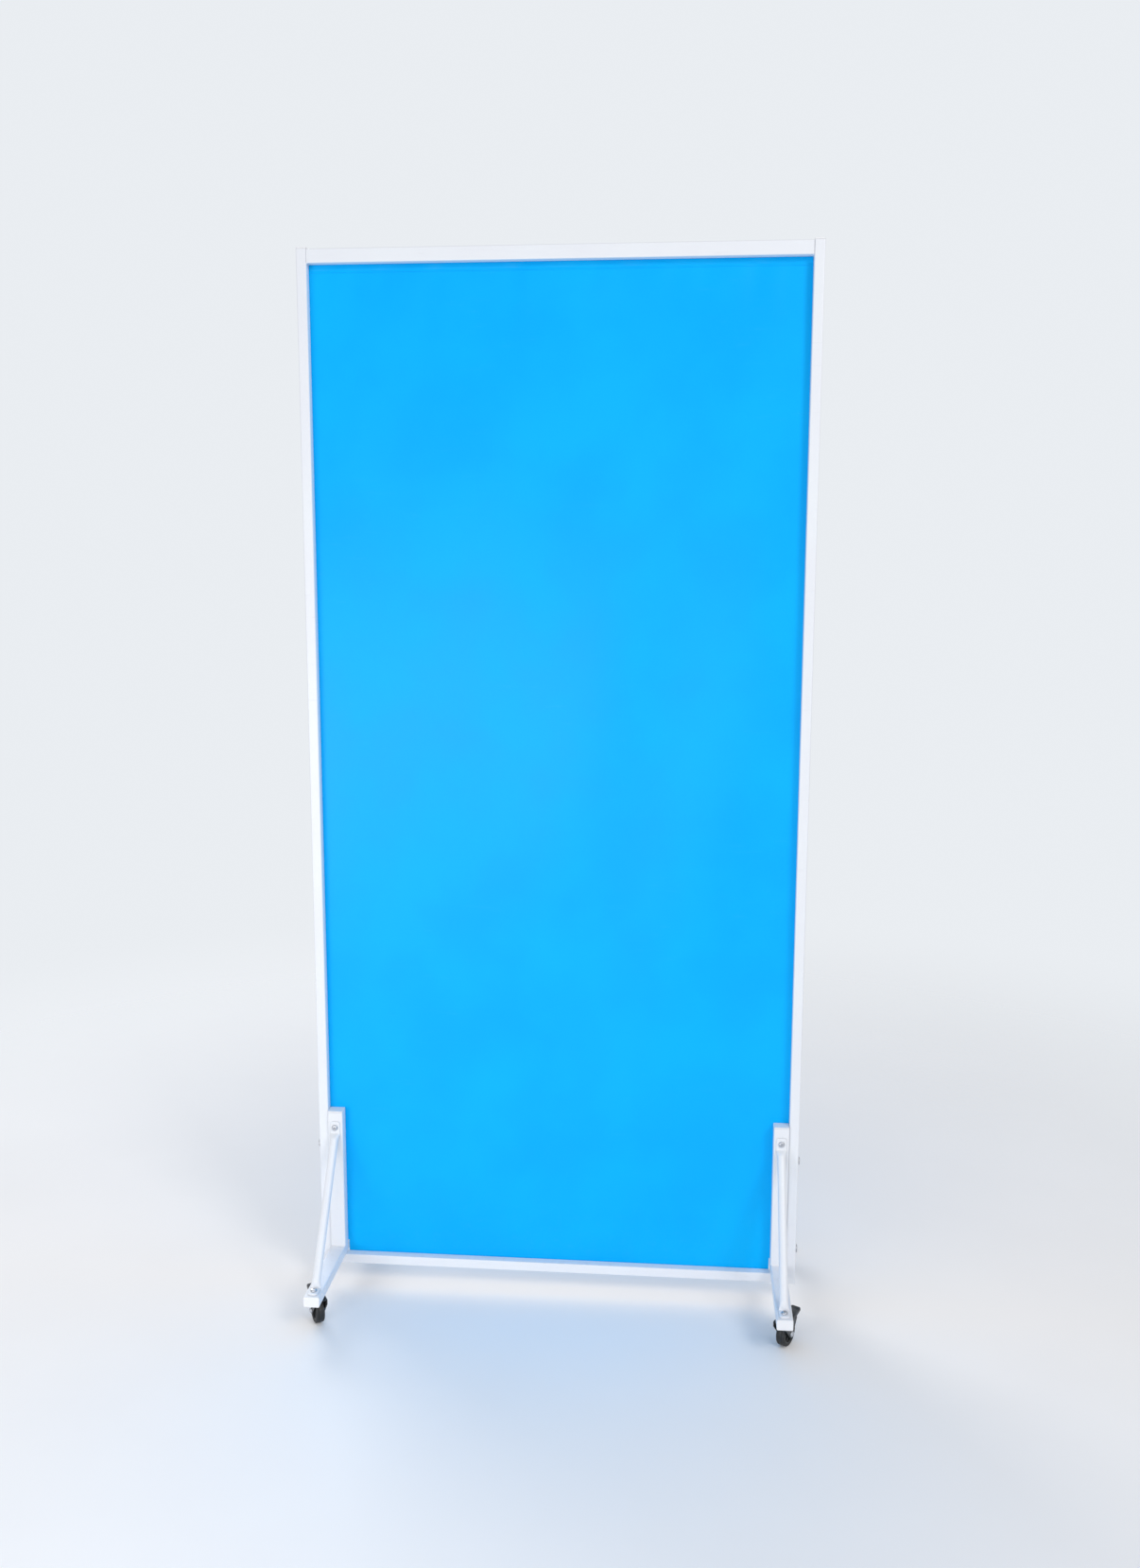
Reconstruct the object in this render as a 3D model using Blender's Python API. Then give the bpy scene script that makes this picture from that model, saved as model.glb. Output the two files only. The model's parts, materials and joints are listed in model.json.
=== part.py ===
"""Mobile welding screen: one vinyl curtain in a white tube frame, on two T legs with four castors.

Run it with: blender --background --python part.py, or from Blender's text editor.
Metres, +Z up, the curtain faces -Y, and the origin is on the floor under the middle of the screen.
"""

from math import cos, radians, sin, tau

import bmesh
import bpy
from mathutils import Matrix, Vector
from mathutils.geometry import convex_hull_2d

# Left between two faces that touch.
GAP = 0.0003

# Frame: two posts with a rail between them at the top and at the bottom.
SCREEN_WIDTH = 0.950
SCREEN_HEIGHT = 1.965
POST_SIZE = 0.019
POST_WALL = 0.0012
TOP_RAIL_HEIGHT = 0.0254
BOTTOM_RAIL_HEIGHT = 0.019

# Tubes and their end plugs.
INNER_CORNER = 0.001
CORNER_SEGMENTS = 3
PLUG_FLANGE = 0.002
PLUG_EDGE = 0.0006
PLUG_TAIL = 0.009

# Curtain and the flat strips that clamp it to the back of the frame.
CURTAIN_THICKNESS = 0.001
CURTAIN_MARGIN = 0.002
NOTCH_CLEARANCE = 0.002
STRIP_WIDTH = 0.015
STRIP_THICKNESS = 0.002
STRIP_CLEARANCE = 0.0005

# Legs: an upright on the inner side of each post, on a foot that runs front to back.
LEG_WIDTH = 0.030
LEG_DEPTH = 0.025
LEG_HEIGHT = 0.2825
LEG_WALL = 0.0015
FOOT_HEIGHT = 0.020
FOOT_LENGTH = 0.425

# Bolts that hold a leg upright to its post.
LEG_BOLT_RADIUS = 0.004
LEG_BOLT_HEAD_RADIUS = 0.008
LEG_BOLT_HEAD_HEIGHT = 0.0025
LEG_BOLT_FROM_BOTTOM = 0.030
LEG_BOLT_FROM_TOP = 0.070
LEG_NUT_RADIUS = 0.0075
LEG_NUT_HEIGHT = 0.0065
BOLT_TIP = 0.002

# Brace: a round tube with flattened ends, held by one screw at each end.
BRACE_RADIUS = 0.008
BRACE_TAB_WIDTH = 0.020
BRACE_TAB_THICKNESS = 0.003
BRACE_TAB_REACH = 0.012
BRACE_TAPER = 0.014
BRACE_SIDES = 20
BRACE_SCREW_RADIUS = 0.003
BRACE_SCREW_LENGTH = 0.012
BRACE_SCREW_HEAD_RADIUS = 0.006
BRACE_SCREW_HEAD_HEIGHT = 0.0035
BRACE_SCREW_FROM_TOP = 0.030
BRACE_SCREW_FROM_END = 0.016

# Castors.
WHEEL_DIAMETER = 0.050
WHEEL_WIDTH = 0.017
WHEEL_SHOULDER = 0.003
HUB_WIDTH = 0.020
HUB_RADIUS = 0.0075
WEB_WIDTH = 0.008
RIM_INNER_RADIUS = 0.0165
RIM_DRAFT = 0.0005
AXLE_RADIUS = 0.003
AXLE_HEAD_RADIUS = 0.0055
AXLE_HEAD_HEIGHT = 0.0025
RUNNING_CLEARANCE = 0.0004
HUB_SIDE_CLEARANCE = 0.0007
TRAIL = 0.013
FORK_THICKNESS = 0.002
FORK_AXLE_EYE = 0.0075
CROWN_CLEARANCE = 0.003
CROWN_LEADING = 0.014
CROWN_TRAILING = 0.0215
CROWN_SIDE_DROP = 0.010
COLLAR_RADIUS = 0.011
COLLAR_HEIGHT = 0.0045
FLANGE_RADIUS = 0.012
FLANGE_HEIGHT = 0.0042
KING_PIN_RADIUS = 0.004
KING_PIN_HEAD_RADIUS = 0.007
KING_PIN_HEAD_HEIGHT = 0.0015
STEM_RADIUS = 0.005
STEM_NUT_RADIUS = 0.0095
STEM_NUT_HEIGHT = 0.006
CASTOR_FROM_END = 0.050

# Brake pedal of a front castor.
PEDAL_PIVOT_BEYOND_AXLE = 0.017
PEDAL_PIVOT_BELOW_CROWN = 0.004
PEDAL_PIN_RADIUS = 0.002
PEDAL_EYE = 0.0045
PEDAL_HUB_RADIUS = 0.0035
PEDAL_LENGTH = 0.028
PEDAL_THICKNESS = 0.003
PEDAL_RISE = radians(12)
PEDAL_SIDE_CLEARANCE = 0.0005

# The way each castor trails at rest, in degrees from +X towards +Y.
CASTOR_HEADINGS = {"front_left": 120, "front_right": 60, "rear_left": 65, "rear_right": 105}

# Facets round a turned piece; the wheel's is a multiple of four, so that it stands on a vertex.
WHEEL_FACETS = 28
BOLT_FACETS = 20
PIN_FACETS = 16
NUT_FACETS = 6

# Heights above the floor, from the wheels up.
WHEEL_RADIUS = WHEEL_DIAMETER / 2
CROWN_UNDERSIDE = WHEEL_DIAMETER + CROWN_CLEARANCE
CROWN_TOP = CROWN_UNDERSIDE + FORK_THICKNESS
COLLAR_TOP = CROWN_TOP + COLLAR_HEIGHT
FLANGE_UNDERSIDE = COLLAR_TOP + GAP
FLANGE_TOP = FLANGE_UNDERSIDE + FLANGE_HEIGHT
FOOT_BOTTOM = FLANGE_TOP + GAP
FOOT_TOP = FOOT_BOTTOM + FOOT_HEIGHT
FRAME_BOTTOM = FOOT_BOTTOM - GAP - BOTTOM_RAIL_HEIGHT
FRAME_TOP = FRAME_BOTTOM + SCREEN_HEIGHT
LEG_BOTTOM = FOOT_TOP + GAP
LEG_TOP = LEG_BOTTOM + LEG_HEIGHT

# Distances from the middle of the screen.
HALF_WIDTH = SCREEN_WIDTH / 2
POST_X = HALF_WIDTH - POST_SIZE / 2
LEG_X = HALF_WIDTH - POST_SIZE - GAP - LEG_WIDTH / 2
FRAME_BACK = POST_SIZE / 2
LEG_FRONT = FRAME_BACK - LEG_DEPTH
FOOT_END = FOOT_LENGTH / 2
CASTOR_Y = FOOT_END - CASTOR_FROM_END
FORK_INNER = HUB_WIDTH / 2 + HUB_SIDE_CLEARANCE
FORK_OUTER = FORK_INNER + FORK_THICKNESS
PEDAL_PIVOT_X = TRAIL + PEDAL_PIVOT_BEYOND_AXLE
PEDAL_PIVOT_Z = CROWN_UNDERSIDE - PEDAL_PIVOT_BELOW_CROWN

AXIS_X = Vector((1.0, 0.0, 0.0))
AXIS_Y = Vector((0.0, 1.0, 0.0))
AXIS_Z = Vector((0.0, 0.0, 1.0))
SIDES = {"left": -1.0, "right": 1.0}


def clear_scene():
    for obj in list(bpy.data.objects):
        bpy.data.objects.remove(obj, do_unlink=True)


def make_material(name, colour, roughness, metallic):
    material = bpy.data.materials.new(name)
    material.use_nodes = True
    shader = material.node_tree.nodes["Principled BSDF"]
    shader.inputs["Base Color"].default_value = (*colour, 1.0)
    shader.inputs["Roughness"].default_value = roughness
    shader.inputs["Metallic"].default_value = metallic
    return material


def turn_to(axis):
    """The turn that brings +Z onto an axis."""
    return AXIS_Z.rotation_difference(axis).to_matrix().to_4x4()


def finished_mesh(name, shape):
    """Ends a bmesh as a mesh, smooth except across sharp edges."""
    bmesh.ops.recalc_face_normals(shape, faces=shape.faces)
    mesh = bpy.data.meshes.new(name)
    shape.to_mesh(mesh)
    shape.free()
    mesh.shade_smooth()
    mesh.set_sharp_from_angle(angle=radians(35))
    return mesh


def add_object(name, mesh, material, location=(0.0, 0.0, 0.0), parent=None):
    obj = bpy.data.objects.new(name, mesh)
    obj.location = location
    obj.parent = parent
    if not mesh.materials:
        mesh.materials.append(material)
    bpy.context.scene.collection.objects.link(obj)
    return obj


def box(size, centre, long_axis=None, corner=0.0):
    """A block; with long_axis, its four edges along that axis are rounded."""
    shape = bmesh.new()
    place = Matrix.Translation(centre) @ Matrix.Diagonal((*size, 1.0))
    bmesh.ops.create_cube(shape, size=1.0, matrix=place)
    if long_axis is not None:
        edges = []
        for edge in shape.edges:
            along = edge.verts[1].co - edge.verts[0].co
            if abs(along[long_axis]) > GAP:
                edges.append(edge)
        bmesh.ops.bevel(
            shape, geom=edges, offset=corner, segments=CORNER_SEGMENTS, profile=0.5, affect="EDGES"
        )
    return shape


def cylinder(radius, start, end, facets):
    """A round bar between two points."""
    start, end = Vector(start), Vector(end)
    shape = bmesh.new()
    place = Matrix.Translation((start + end) / 2) @ turn_to((end - start).normalized())
    bmesh.ops.create_cone(
        shape,
        cap_ends=True,
        segments=facets,
        radius1=radius,
        radius2=radius,
        depth=(end - start).length,
        matrix=place,
    )
    return shape


def turned(profile, facets, axis=AXIS_Z):
    """Turns (radius, height) points about an axis: a bar if they start on it, else a ring."""
    shape = bmesh.new()
    verts = [shape.verts.new((radius, 0.0, height)) for radius, height in profile]
    following = verts[1:]
    if profile[0][0] > 0.0:
        following.append(verts[0])
    edges = [shape.edges.new(pair) for pair in zip(verts, following)]
    bmesh.ops.spin(
        shape, geom=verts + edges, cent=(0, 0, 0), axis=AXIS_Z, angle=tau, steps=facets, use_merge=True
    )
    bmesh.ops.remove_doubles(shape, verts=shape.verts, dist=1e-6)
    bmesh.ops.transform(shape, matrix=turn_to(axis), verts=shape.verts)
    return shape


def plate(outline, y_low, y_high):
    """A flat plate from its (x, z) outline."""
    shape = bmesh.new()
    face = shape.faces.new([shape.verts.new((x, y_low, z)) for x, z in outline])
    grown = bmesh.ops.extrude_face_region(shape, geom=[face])["geom"]
    moved = [item for item in grown if isinstance(item, bmesh.types.BMVert)]
    bmesh.ops.translate(shape, verts=moved, vec=(0.0, y_high - y_low, 0.0))
    return shape


def circle_points(centre, radius, count):
    """Points (x, z) round a circle."""
    points = []
    for step in range(count):
        angle = tau * step / count
        points.append((centre[0] + radius * cos(angle), centre[1] + radius * sin(angle)))
    return points


def around(points):
    """The outline stretched round a set of (x, z) points."""
    return [points[index] for index in convex_hull_2d([Vector(point) for point in points])]


def combined(mesh, others, operation):
    """The mesh after a Boolean with each of the other shapes, which are used up."""
    target = bpy.data.objects.new("target", mesh)
    bpy.context.scene.collection.objects.link(target)
    helpers = []
    for shape in others:
        helper = bpy.data.objects.new("helper", finished_mesh("helper", shape))
        bpy.context.scene.collection.objects.link(helper)
        helpers.append(helper)
        modifier = target.modifiers.new("boolean", "BOOLEAN")
        modifier.operation = operation
        modifier.solver = "EXACT"
        modifier.object = helper
    bpy.context.view_layer.update()
    graph = bpy.context.evaluated_depsgraph_get()
    result = bpy.data.meshes.new_from_object(target.evaluated_get(graph))
    result.name = mesh.name
    for obj in [target] + helpers:
        bpy.data.objects.remove(obj, do_unlink=True)
    result.shade_smooth()
    result.set_sharp_from_angle(angle=radians(35))
    return result


def tube_mesh(name, size, centre, long_axis, wall, holes=()):
    """A rectangular tube with rounded corners, open at both ends, with bars cut out of it."""
    outer = finished_mesh(name, box(size, centre, long_axis, wall + INNER_CORNER))
    inside = [extent - 2 * wall for extent in size]
    inside[long_axis] = size[long_axis] * 2
    return combined(outer, [box(inside, centre), *holes], "DIFFERENCE")


def plug_mesh(name, width, depth, wall):
    """An end plug: a rounded flange with a tail below it, which fits inside the tube's wall."""
    shape = box((width, depth, PLUG_FLANGE), (0, 0, PLUG_FLANGE / 2), 2, wall + INNER_CORNER)
    shape.faces.ensure_lookup_table()
    below = min(shape.faces, key=lambda face: face.calc_center_median().z)
    above = max(shape.faces, key=lambda face: face.calc_center_median().z)
    bmesh.ops.inset_region(shape, faces=[below], thickness=wall + GAP, use_even_offset=True)
    grown = bmesh.ops.extrude_face_region(shape, geom=[below])["geom"]
    moved = [item for item in grown if isinstance(item, bmesh.types.BMVert)]
    bmesh.ops.translate(shape, verts=moved, vec=(0.0, 0.0, -PLUG_TAIL))
    bmesh.ops.delete(shape, geom=[below], context="FACES_ONLY")
    bmesh.ops.bevel(
        shape, geom=list(above.edges), offset=PLUG_EDGE, segments=1, profile=0.5, affect="EDGES"
    )
    return finished_mesh(name, shape)


def screw_mesh(name, radius, length, head_radius, head_height, facets):
    """A dome-headed screw, its head above the origin and its shank below."""
    dome = []
    for step in range(4):
        angle = radians(90 - 20 * step)
        dome.append((head_radius * cos(angle), head_height * (0.25 + 0.75 * sin(angle))))
    dome[0] = (0.0, head_height)
    profile = dome + [(head_radius, head_height * 0.25), (head_radius, 0.0)]
    profile += [(radius, 0.0), (radius, -length), (0.0, -length)]
    return finished_mesh(name, turned(profile, facets))


def nut_mesh(name, radius, height, bore):
    """A hexagonal nut standing on the origin."""
    nut = finished_mesh(name, cylinder(radius, (0, 0, 0), (0, 0, height), NUT_FACETS))
    return combined(nut, [cylinder(bore, (0, 0, -height), (0, 0, 2 * height), BOLT_FACETS)], "DIFFERENCE")


def place(name, mesh, material, location, axis):
    """Adds an object turned so that its +Z points along an axis."""
    obj = add_object(name, mesh, material, location)
    obj.rotation_euler = turn_to(axis).to_euler()
    return obj


def leg_bolt_heights():
    return {"lower": LEG_BOTTOM + LEG_BOLT_FROM_BOTTOM, "upper": LEG_TOP - LEG_BOLT_FROM_TOP}


def leg_bolt_holes(side):
    """Bars that leave the holes through a post and the near wall of its leg upright."""
    radius = LEG_BOLT_RADIUS + GAP
    outside = side * (HALF_WIDTH + POST_SIZE)
    inside = side * LEG_X
    return [
        cylinder(radius, (outside, 0.0, height), (inside, 0.0, height), BOLT_FACETS)
        for height in leg_bolt_heights().values()
    ]


def add_frame(paint, cap_plastic):
    rail_length = SCREEN_WIDTH - 2 * (POST_SIZE + GAP)
    post_middle = (FRAME_BOTTOM + FRAME_TOP) / 2
    cap = plug_mesh("post_plug", POST_SIZE, POST_SIZE, POST_WALL)
    for name, side in SIDES.items():
        size = (POST_SIZE, POST_SIZE, SCREEN_HEIGHT)
        centre = (side * POST_X, 0.0, post_middle)
        mesh = tube_mesh(f"post_{name}", size, centre, 2, POST_WALL, leg_bolt_holes(side))
        add_object(f"post_{name}", mesh, paint)
        place(f"post_cap_{name}", cap, cap_plastic, (side * POST_X, 0, FRAME_TOP + GAP), AXIS_Z)
        place(f"post_plug_{name}", cap, cap_plastic, (side * POST_X, 0, FRAME_BOTTOM - GAP), -AXIS_Z)
    rails = {
        "top_rail": (TOP_RAIL_HEIGHT, FRAME_TOP - TOP_RAIL_HEIGHT / 2),
        "bottom_rail": (BOTTOM_RAIL_HEIGHT, FRAME_BOTTOM + BOTTOM_RAIL_HEIGHT / 2),
    }
    for name, (height, middle) in rails.items():
        size = (rail_length, POST_SIZE, height)
        add_object(name, tube_mesh(name, size, (0.0, 0.0, middle), 0, POST_WALL), paint)


def add_curtain(vinyl, paint):
    """The sheet lies on the back of the frame, its lower corners cut out round the feet."""
    front = FRAME_BACK + GAP
    back = front + CURTAIN_THICKNESS
    right = HALF_WIDTH - CURTAIN_MARGIN
    low = FRAME_BOTTOM + CURTAIN_MARGIN
    high = FRAME_TOP - CURTAIN_MARGIN
    notch_x = LEG_X - LEG_WIDTH / 2 - NOTCH_CLEARANCE
    notch_z = FOOT_TOP + NOTCH_CLEARANCE
    half = [(notch_x, low), (notch_x, notch_z), (right, notch_z), (right, high)]
    outline = half + [(-x, z) for x, z in reversed(half)]
    add_object("curtain", finished_mesh("curtain", plate(outline, front, back)), vinyl)

    strip_y = back + GAP + STRIP_THICKNESS / 2
    side_low = notch_z + NOTCH_CLEARANCE
    side_size = (STRIP_WIDTH, STRIP_THICKNESS, high - side_low)
    for name, side in SIDES.items():
        centre = (side * POST_X, strip_y, (side_low + high) / 2)
        mesh = finished_mesh(f"clamp_strip_{name}", box(side_size, centre))
        add_object(f"clamp_strip_{name}", mesh, paint)
    top_length = 2 * (POST_X - STRIP_WIDTH / 2 - STRIP_CLEARANCE)
    bottom_length = 2 * (notch_x - NOTCH_CLEARANCE)
    across = {
        "clamp_strip_top": (top_length, FRAME_TOP - TOP_RAIL_HEIGHT / 2),
        "clamp_strip_bottom": (bottom_length, FRAME_BOTTOM + BOTTOM_RAIL_HEIGHT / 2),
    }
    for name, (length, middle) in across.items():
        size = (length, STRIP_THICKNESS, STRIP_WIDTH)
        add_object(name, finished_mesh(name, box(size, (0.0, strip_y, middle))), paint)


def brace_screw_places():
    """Where each brace screw enters its tube, and the way that its head faces."""
    upper = Vector((0.0, LEG_FRONT, LEG_TOP - BRACE_SCREW_FROM_TOP))
    lower = Vector((0.0, BRACE_SCREW_FROM_END - FOOT_END, FOOT_TOP))
    return {"upper": (upper, -AXIS_Y), "lower": (lower, AXIS_Z)}


def brace_mesh(name, x):
    """A flat tab on the upright, a bend, the round tube, a bend and a flat tab on the foot."""
    screws = brace_screw_places()
    lift = GAP + BRACE_TAB_THICKNESS / 2
    upper = screws["upper"][0] - AXIS_Y * lift
    lower = screws["lower"][0] + AXIS_Z * lift
    upper_bend = upper - AXIS_Z * BRACE_TAB_REACH
    lower_bend = lower + AXIS_Y * BRACE_TAB_REACH
    along = (lower_bend - upper_bend).normalized()
    flat = (BRACE_TAB_WIDTH / 2, BRACE_TAB_THICKNESS / 2, 6.0)
    round_ = (BRACE_RADIUS, BRACE_RADIUS, 2.0)
    stations = [
        (upper + AXIS_Z * BRACE_TAB_REACH, -AXIS_Z, flat),
        (upper_bend, (along - AXIS_Z).normalized(), flat),
        (upper_bend + along * BRACE_TAPER, along, round_),
        (lower_bend - along * BRACE_TAPER, along, round_),
        (lower_bend, (along - AXIS_Y).normalized(), flat),
        (lower - AXIS_Y * BRACE_TAB_REACH, -AXIS_Y, flat),
    ]
    shape = bmesh.new()
    rings = []
    for centre, direction, (half_width, half_thickness, squareness) in stations:
        up = AXIS_X.cross(direction)
        ring = []
        for step in range(BRACE_SIDES):
            angle = tau * step / BRACE_SIDES
            sideways = half_width * signed_power(cos(angle), 2 / squareness)
            outwards = half_thickness * signed_power(sin(angle), 2 / squareness)
            ring.append(shape.verts.new(centre + AXIS_X * (x + sideways) + up * outwards))
        rings.append(ring)
    for ring, following in zip(rings, rings[1:]):
        for step in range(BRACE_SIDES):
            after = (step + 1) % BRACE_SIDES
            shape.faces.new((ring[step], ring[after], following[after], following[step]))
    shape.faces.new(rings[0])
    shape.faces.new(rings[-1])
    return combined(finished_mesh(name, shape), brace_screw_holes(x), "DIFFERENCE")


def signed_power(value, power):
    """A power that keeps the sign, for an oval that can be squared off."""
    if abs(value) < 1e-9:
        return 0.0
    return abs(value) ** power * (1.0 if value > 0 else -1.0)


def brace_screw_holes(x):
    """Bars that leave the holes for the brace's screws in its tabs and in one wall of each tube."""
    holes = []
    for point, outwards in brace_screw_places().values():
        centre = point + AXIS_X * x
        reach = outwards * (BRACE_TAB_THICKNESS + LEG_WALL + GAP)
        holes.append(cylinder(BRACE_SCREW_RADIUS + GAP, centre - reach, centre + reach, PIN_FACETS))
    return holes


def add_legs(paint, cap_plastic, zinc):
    leg_cap = plug_mesh("leg_cap", LEG_WIDTH, LEG_DEPTH, LEG_WALL)
    foot_plug = plug_mesh("foot_plug", LEG_WIDTH, FOOT_HEIGHT, LEG_WALL)
    bolt_length = POST_SIZE + LEG_WALL + LEG_NUT_HEIGHT + BOLT_TIP + 3 * GAP
    bolt = screw_mesh(
        "leg_bolt", LEG_BOLT_RADIUS, bolt_length, LEG_BOLT_HEAD_RADIUS, LEG_BOLT_HEAD_HEIGHT, BOLT_FACETS
    )
    nut = nut_mesh("leg_nut", LEG_NUT_RADIUS, LEG_NUT_HEIGHT, LEG_BOLT_RADIUS + GAP)
    screw = screw_mesh(
        "brace_screw",
        BRACE_SCREW_RADIUS,
        BRACE_SCREW_LENGTH,
        BRACE_SCREW_HEAD_RADIUS,
        BRACE_SCREW_HEAD_HEIGHT,
        PIN_FACETS,
    )
    for name, side in SIDES.items():
        x = side * LEG_X
        outwards = AXIS_X * side
        leg_y = FRAME_BACK - LEG_DEPTH / 2
        leg_size = (LEG_WIDTH, LEG_DEPTH, LEG_HEIGHT)
        leg_holes = leg_bolt_holes(side) + brace_screw_holes(x)
        leg_centre = (x, leg_y, (LEG_BOTTOM + LEG_TOP) / 2)
        leg = tube_mesh(f"leg_upright_{name}", leg_size, leg_centre, 2, LEG_WALL, leg_holes)
        add_object(f"leg_upright_{name}", leg, paint)
        place(f"leg_cap_{name}", leg_cap, cap_plastic, (x, leg_y, LEG_TOP + GAP), AXIS_Z)

        foot_size = (LEG_WIDTH, FOOT_LENGTH, FOOT_HEIGHT)
        foot_middle = FOOT_BOTTOM + FOOT_HEIGHT / 2
        foot_holes = brace_screw_holes(x)
        for end in (-1.0, 1.0):
            start = (x, end * CASTOR_Y, FOOT_BOTTOM - LEG_WALL)
            stop = (x, end * CASTOR_Y, FOOT_BOTTOM + 2 * LEG_WALL)
            foot_holes.append(cylinder(STEM_RADIUS + GAP, start, stop, BOLT_FACETS))
        foot = tube_mesh(f"foot_{name}", foot_size, (x, 0.0, foot_middle), 1, LEG_WALL, foot_holes)
        add_object(f"foot_{name}", foot, paint)
        for end_name, end in {"front": -1.0, "rear": 1.0}.items():
            location = (x, end * (FOOT_END + GAP), foot_middle)
            place(f"foot_plug_{end_name}_{name}", foot_plug, cap_plastic, location, AXIS_Y * end)

        add_object(f"brace_{name}", brace_mesh(f"brace_{name}", x), paint)
        for level, (point, facing) in brace_screw_places().items():
            head = point + AXIS_X * x + facing * (BRACE_TAB_THICKNESS + 2 * GAP)
            place(f"brace_screw_{level}_{name}", screw, zinc, head, facing)
        for level, height in leg_bolt_heights().items():
            head_x = side * (HALF_WIDTH + GAP)
            place(f"leg_bolt_{level}_{name}", bolt, zinc, (head_x, 0, height), outwards)
            nut_x = side * (LEG_X + LEG_WIDTH / 2 - LEG_WALL - GAP)
            place(f"leg_nut_{level}_{name}", nut, zinc, (nut_x, 0, height), -outwards)


def wheel_shape():
    """Hub, thin web and a rim with a rounded tread, turned about the axle."""
    half = WHEEL_WIDTH / 2
    side = [
        (AXLE_RADIUS + RUNNING_CLEARANCE, HUB_WIDTH / 2),
        (HUB_RADIUS, HUB_WIDTH / 2),
        (HUB_RADIUS + RIM_DRAFT, WEB_WIDTH / 2),
        (RIM_INNER_RADIUS - RIM_DRAFT, WEB_WIDTH / 2),
        (RIM_INNER_RADIUS, half),
    ]
    for angle in (90, 45, 0):
        radius = WHEEL_RADIUS - WHEEL_SHOULDER + WHEEL_SHOULDER * cos(radians(angle))
        width = half - WHEEL_SHOULDER + WHEEL_SHOULDER * sin(radians(angle))
        side.append((radius, width))
    profile = side + [(radius, -width) for radius, width in reversed(side)]
    return turned(profile, WHEEL_FACETS, AXIS_Y)


def fork_gap(braked):
    """The space between a fork's side plates: under the crown, and behind it where a pedal passes."""
    reach = 2 * WHEEL_DIAMETER
    outline = [(-reach, CROWN_UNDERSIDE), (-reach, -reach), (reach, -reach)]
    if braked:
        outline += [(reach, reach), (CROWN_TRAILING, reach), (CROWN_TRAILING, CROWN_UNDERSIDE)]
    else:
        outline += [(reach, CROWN_UNDERSIDE)]
    return plate(outline, -FORK_INNER, FORK_INNER)


def fork_mesh(name, braked):
    """A pressed fork: a crown with a bearing collar, two side plates, and ears for a brake pedal."""
    points = [(-CROWN_LEADING, CROWN_TOP), (-CROWN_LEADING, CROWN_TOP - CROWN_SIDE_DROP)]
    points += circle_points((TRAIL, WHEEL_RADIUS), FORK_AXLE_EYE, BOLT_FACETS)
    if braked:
        points += circle_points((PEDAL_PIVOT_X, PEDAL_PIVOT_Z), PEDAL_EYE, BOLT_FACETS)
    points += [(CROWN_TRAILING, CROWN_TOP)]
    fork = finished_mesh(name, plate(around(points), -FORK_OUTER, FORK_OUTER))
    reach = WHEEL_DIAMETER
    collar = cylinder(COLLAR_RADIUS, (0, 0, CROWN_TOP - FORK_THICKNESS / 2), (0, 0, COLLAR_TOP), BOLT_FACETS)
    fork = combined(fork, [collar], "UNION")
    cuts = [fork_gap(braked)]
    pin_hole = KING_PIN_RADIUS + GAP
    cuts.append(cylinder(pin_hole, (0, 0, WHEEL_RADIUS), (0, 0, COLLAR_TOP + reach), BOLT_FACETS))
    axle_hole = AXLE_RADIUS + GAP
    cuts.append(cylinder(axle_hole, (TRAIL, -reach, WHEEL_RADIUS), (TRAIL, reach, WHEEL_RADIUS), PIN_FACETS))
    if braked:
        pedal_hole = PEDAL_PIN_RADIUS + GAP
        start = (PEDAL_PIVOT_X, -reach, PEDAL_PIVOT_Z)
        end = (PEDAL_PIVOT_X, reach, PEDAL_PIVOT_Z)
        cuts.append(cylinder(pedal_hole, start, end, PIN_FACETS))
    return combined(fork, cuts, "DIFFERENCE")


def axle_shape():
    """A rivet through the fork and the hub, with a head at each side."""
    neck = FORK_OUTER + GAP
    end = neck + AXLE_HEAD_HEIGHT
    half = [(0.0, end), (AXLE_HEAD_RADIUS, end), (AXLE_HEAD_RADIUS, neck), (AXLE_RADIUS, neck)]
    return turned(half + [(radius, -height) for radius, height in reversed(half)], PIN_FACETS, AXIS_Y)


def stem_shape():
    """King pin with its head under the crown, bearing flange, and the stem that enters the foot."""
    head_top = CROWN_UNDERSIDE - GAP
    head_bottom = head_top - KING_PIN_HEAD_HEIGHT
    stem_top = FOOT_BOTTOM + LEG_WALL + GAP + STEM_NUT_HEIGHT + BOLT_TIP
    profile = [
        (0.0, head_bottom),
        (KING_PIN_HEAD_RADIUS, head_bottom),
        (KING_PIN_HEAD_RADIUS, head_top),
        (KING_PIN_RADIUS, head_top),
        (KING_PIN_RADIUS, FLANGE_UNDERSIDE),
        (FLANGE_RADIUS, FLANGE_UNDERSIDE),
        (FLANGE_RADIUS, FLANGE_TOP),
        (STEM_RADIUS, FLANGE_TOP),
        (STEM_RADIUS, stem_top),
        (0.0, stem_top),
    ]
    return turned(profile, BOLT_FACETS)


def pedal_mesh(name):
    """A lever that rises away from the wheel, on a pin that sits in the fork's ears."""
    half_width = FORK_INNER - PEDAL_SIDE_CLEARANCE
    lever = Vector((cos(PEDAL_RISE), sin(PEDAL_RISE)))
    upright = Vector((-sin(PEDAL_RISE), cos(PEDAL_RISE)))
    tip = lever * PEDAL_LENGTH
    half = upright * PEDAL_THICKNESS / 2
    points = circle_points((0.0, 0.0), PEDAL_HUB_RADIUS, PIN_FACETS)
    points += [tuple(tip + half), tuple(tip - half)]
    body = finished_mesh(name, plate(around(points), -half_width, half_width))
    pin = cylinder(PEDAL_PIN_RADIUS, (0, -FORK_OUTER, 0), (0, FORK_OUTER, 0), PIN_FACETS)
    return combined(body, [pin], "UNION")


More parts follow.
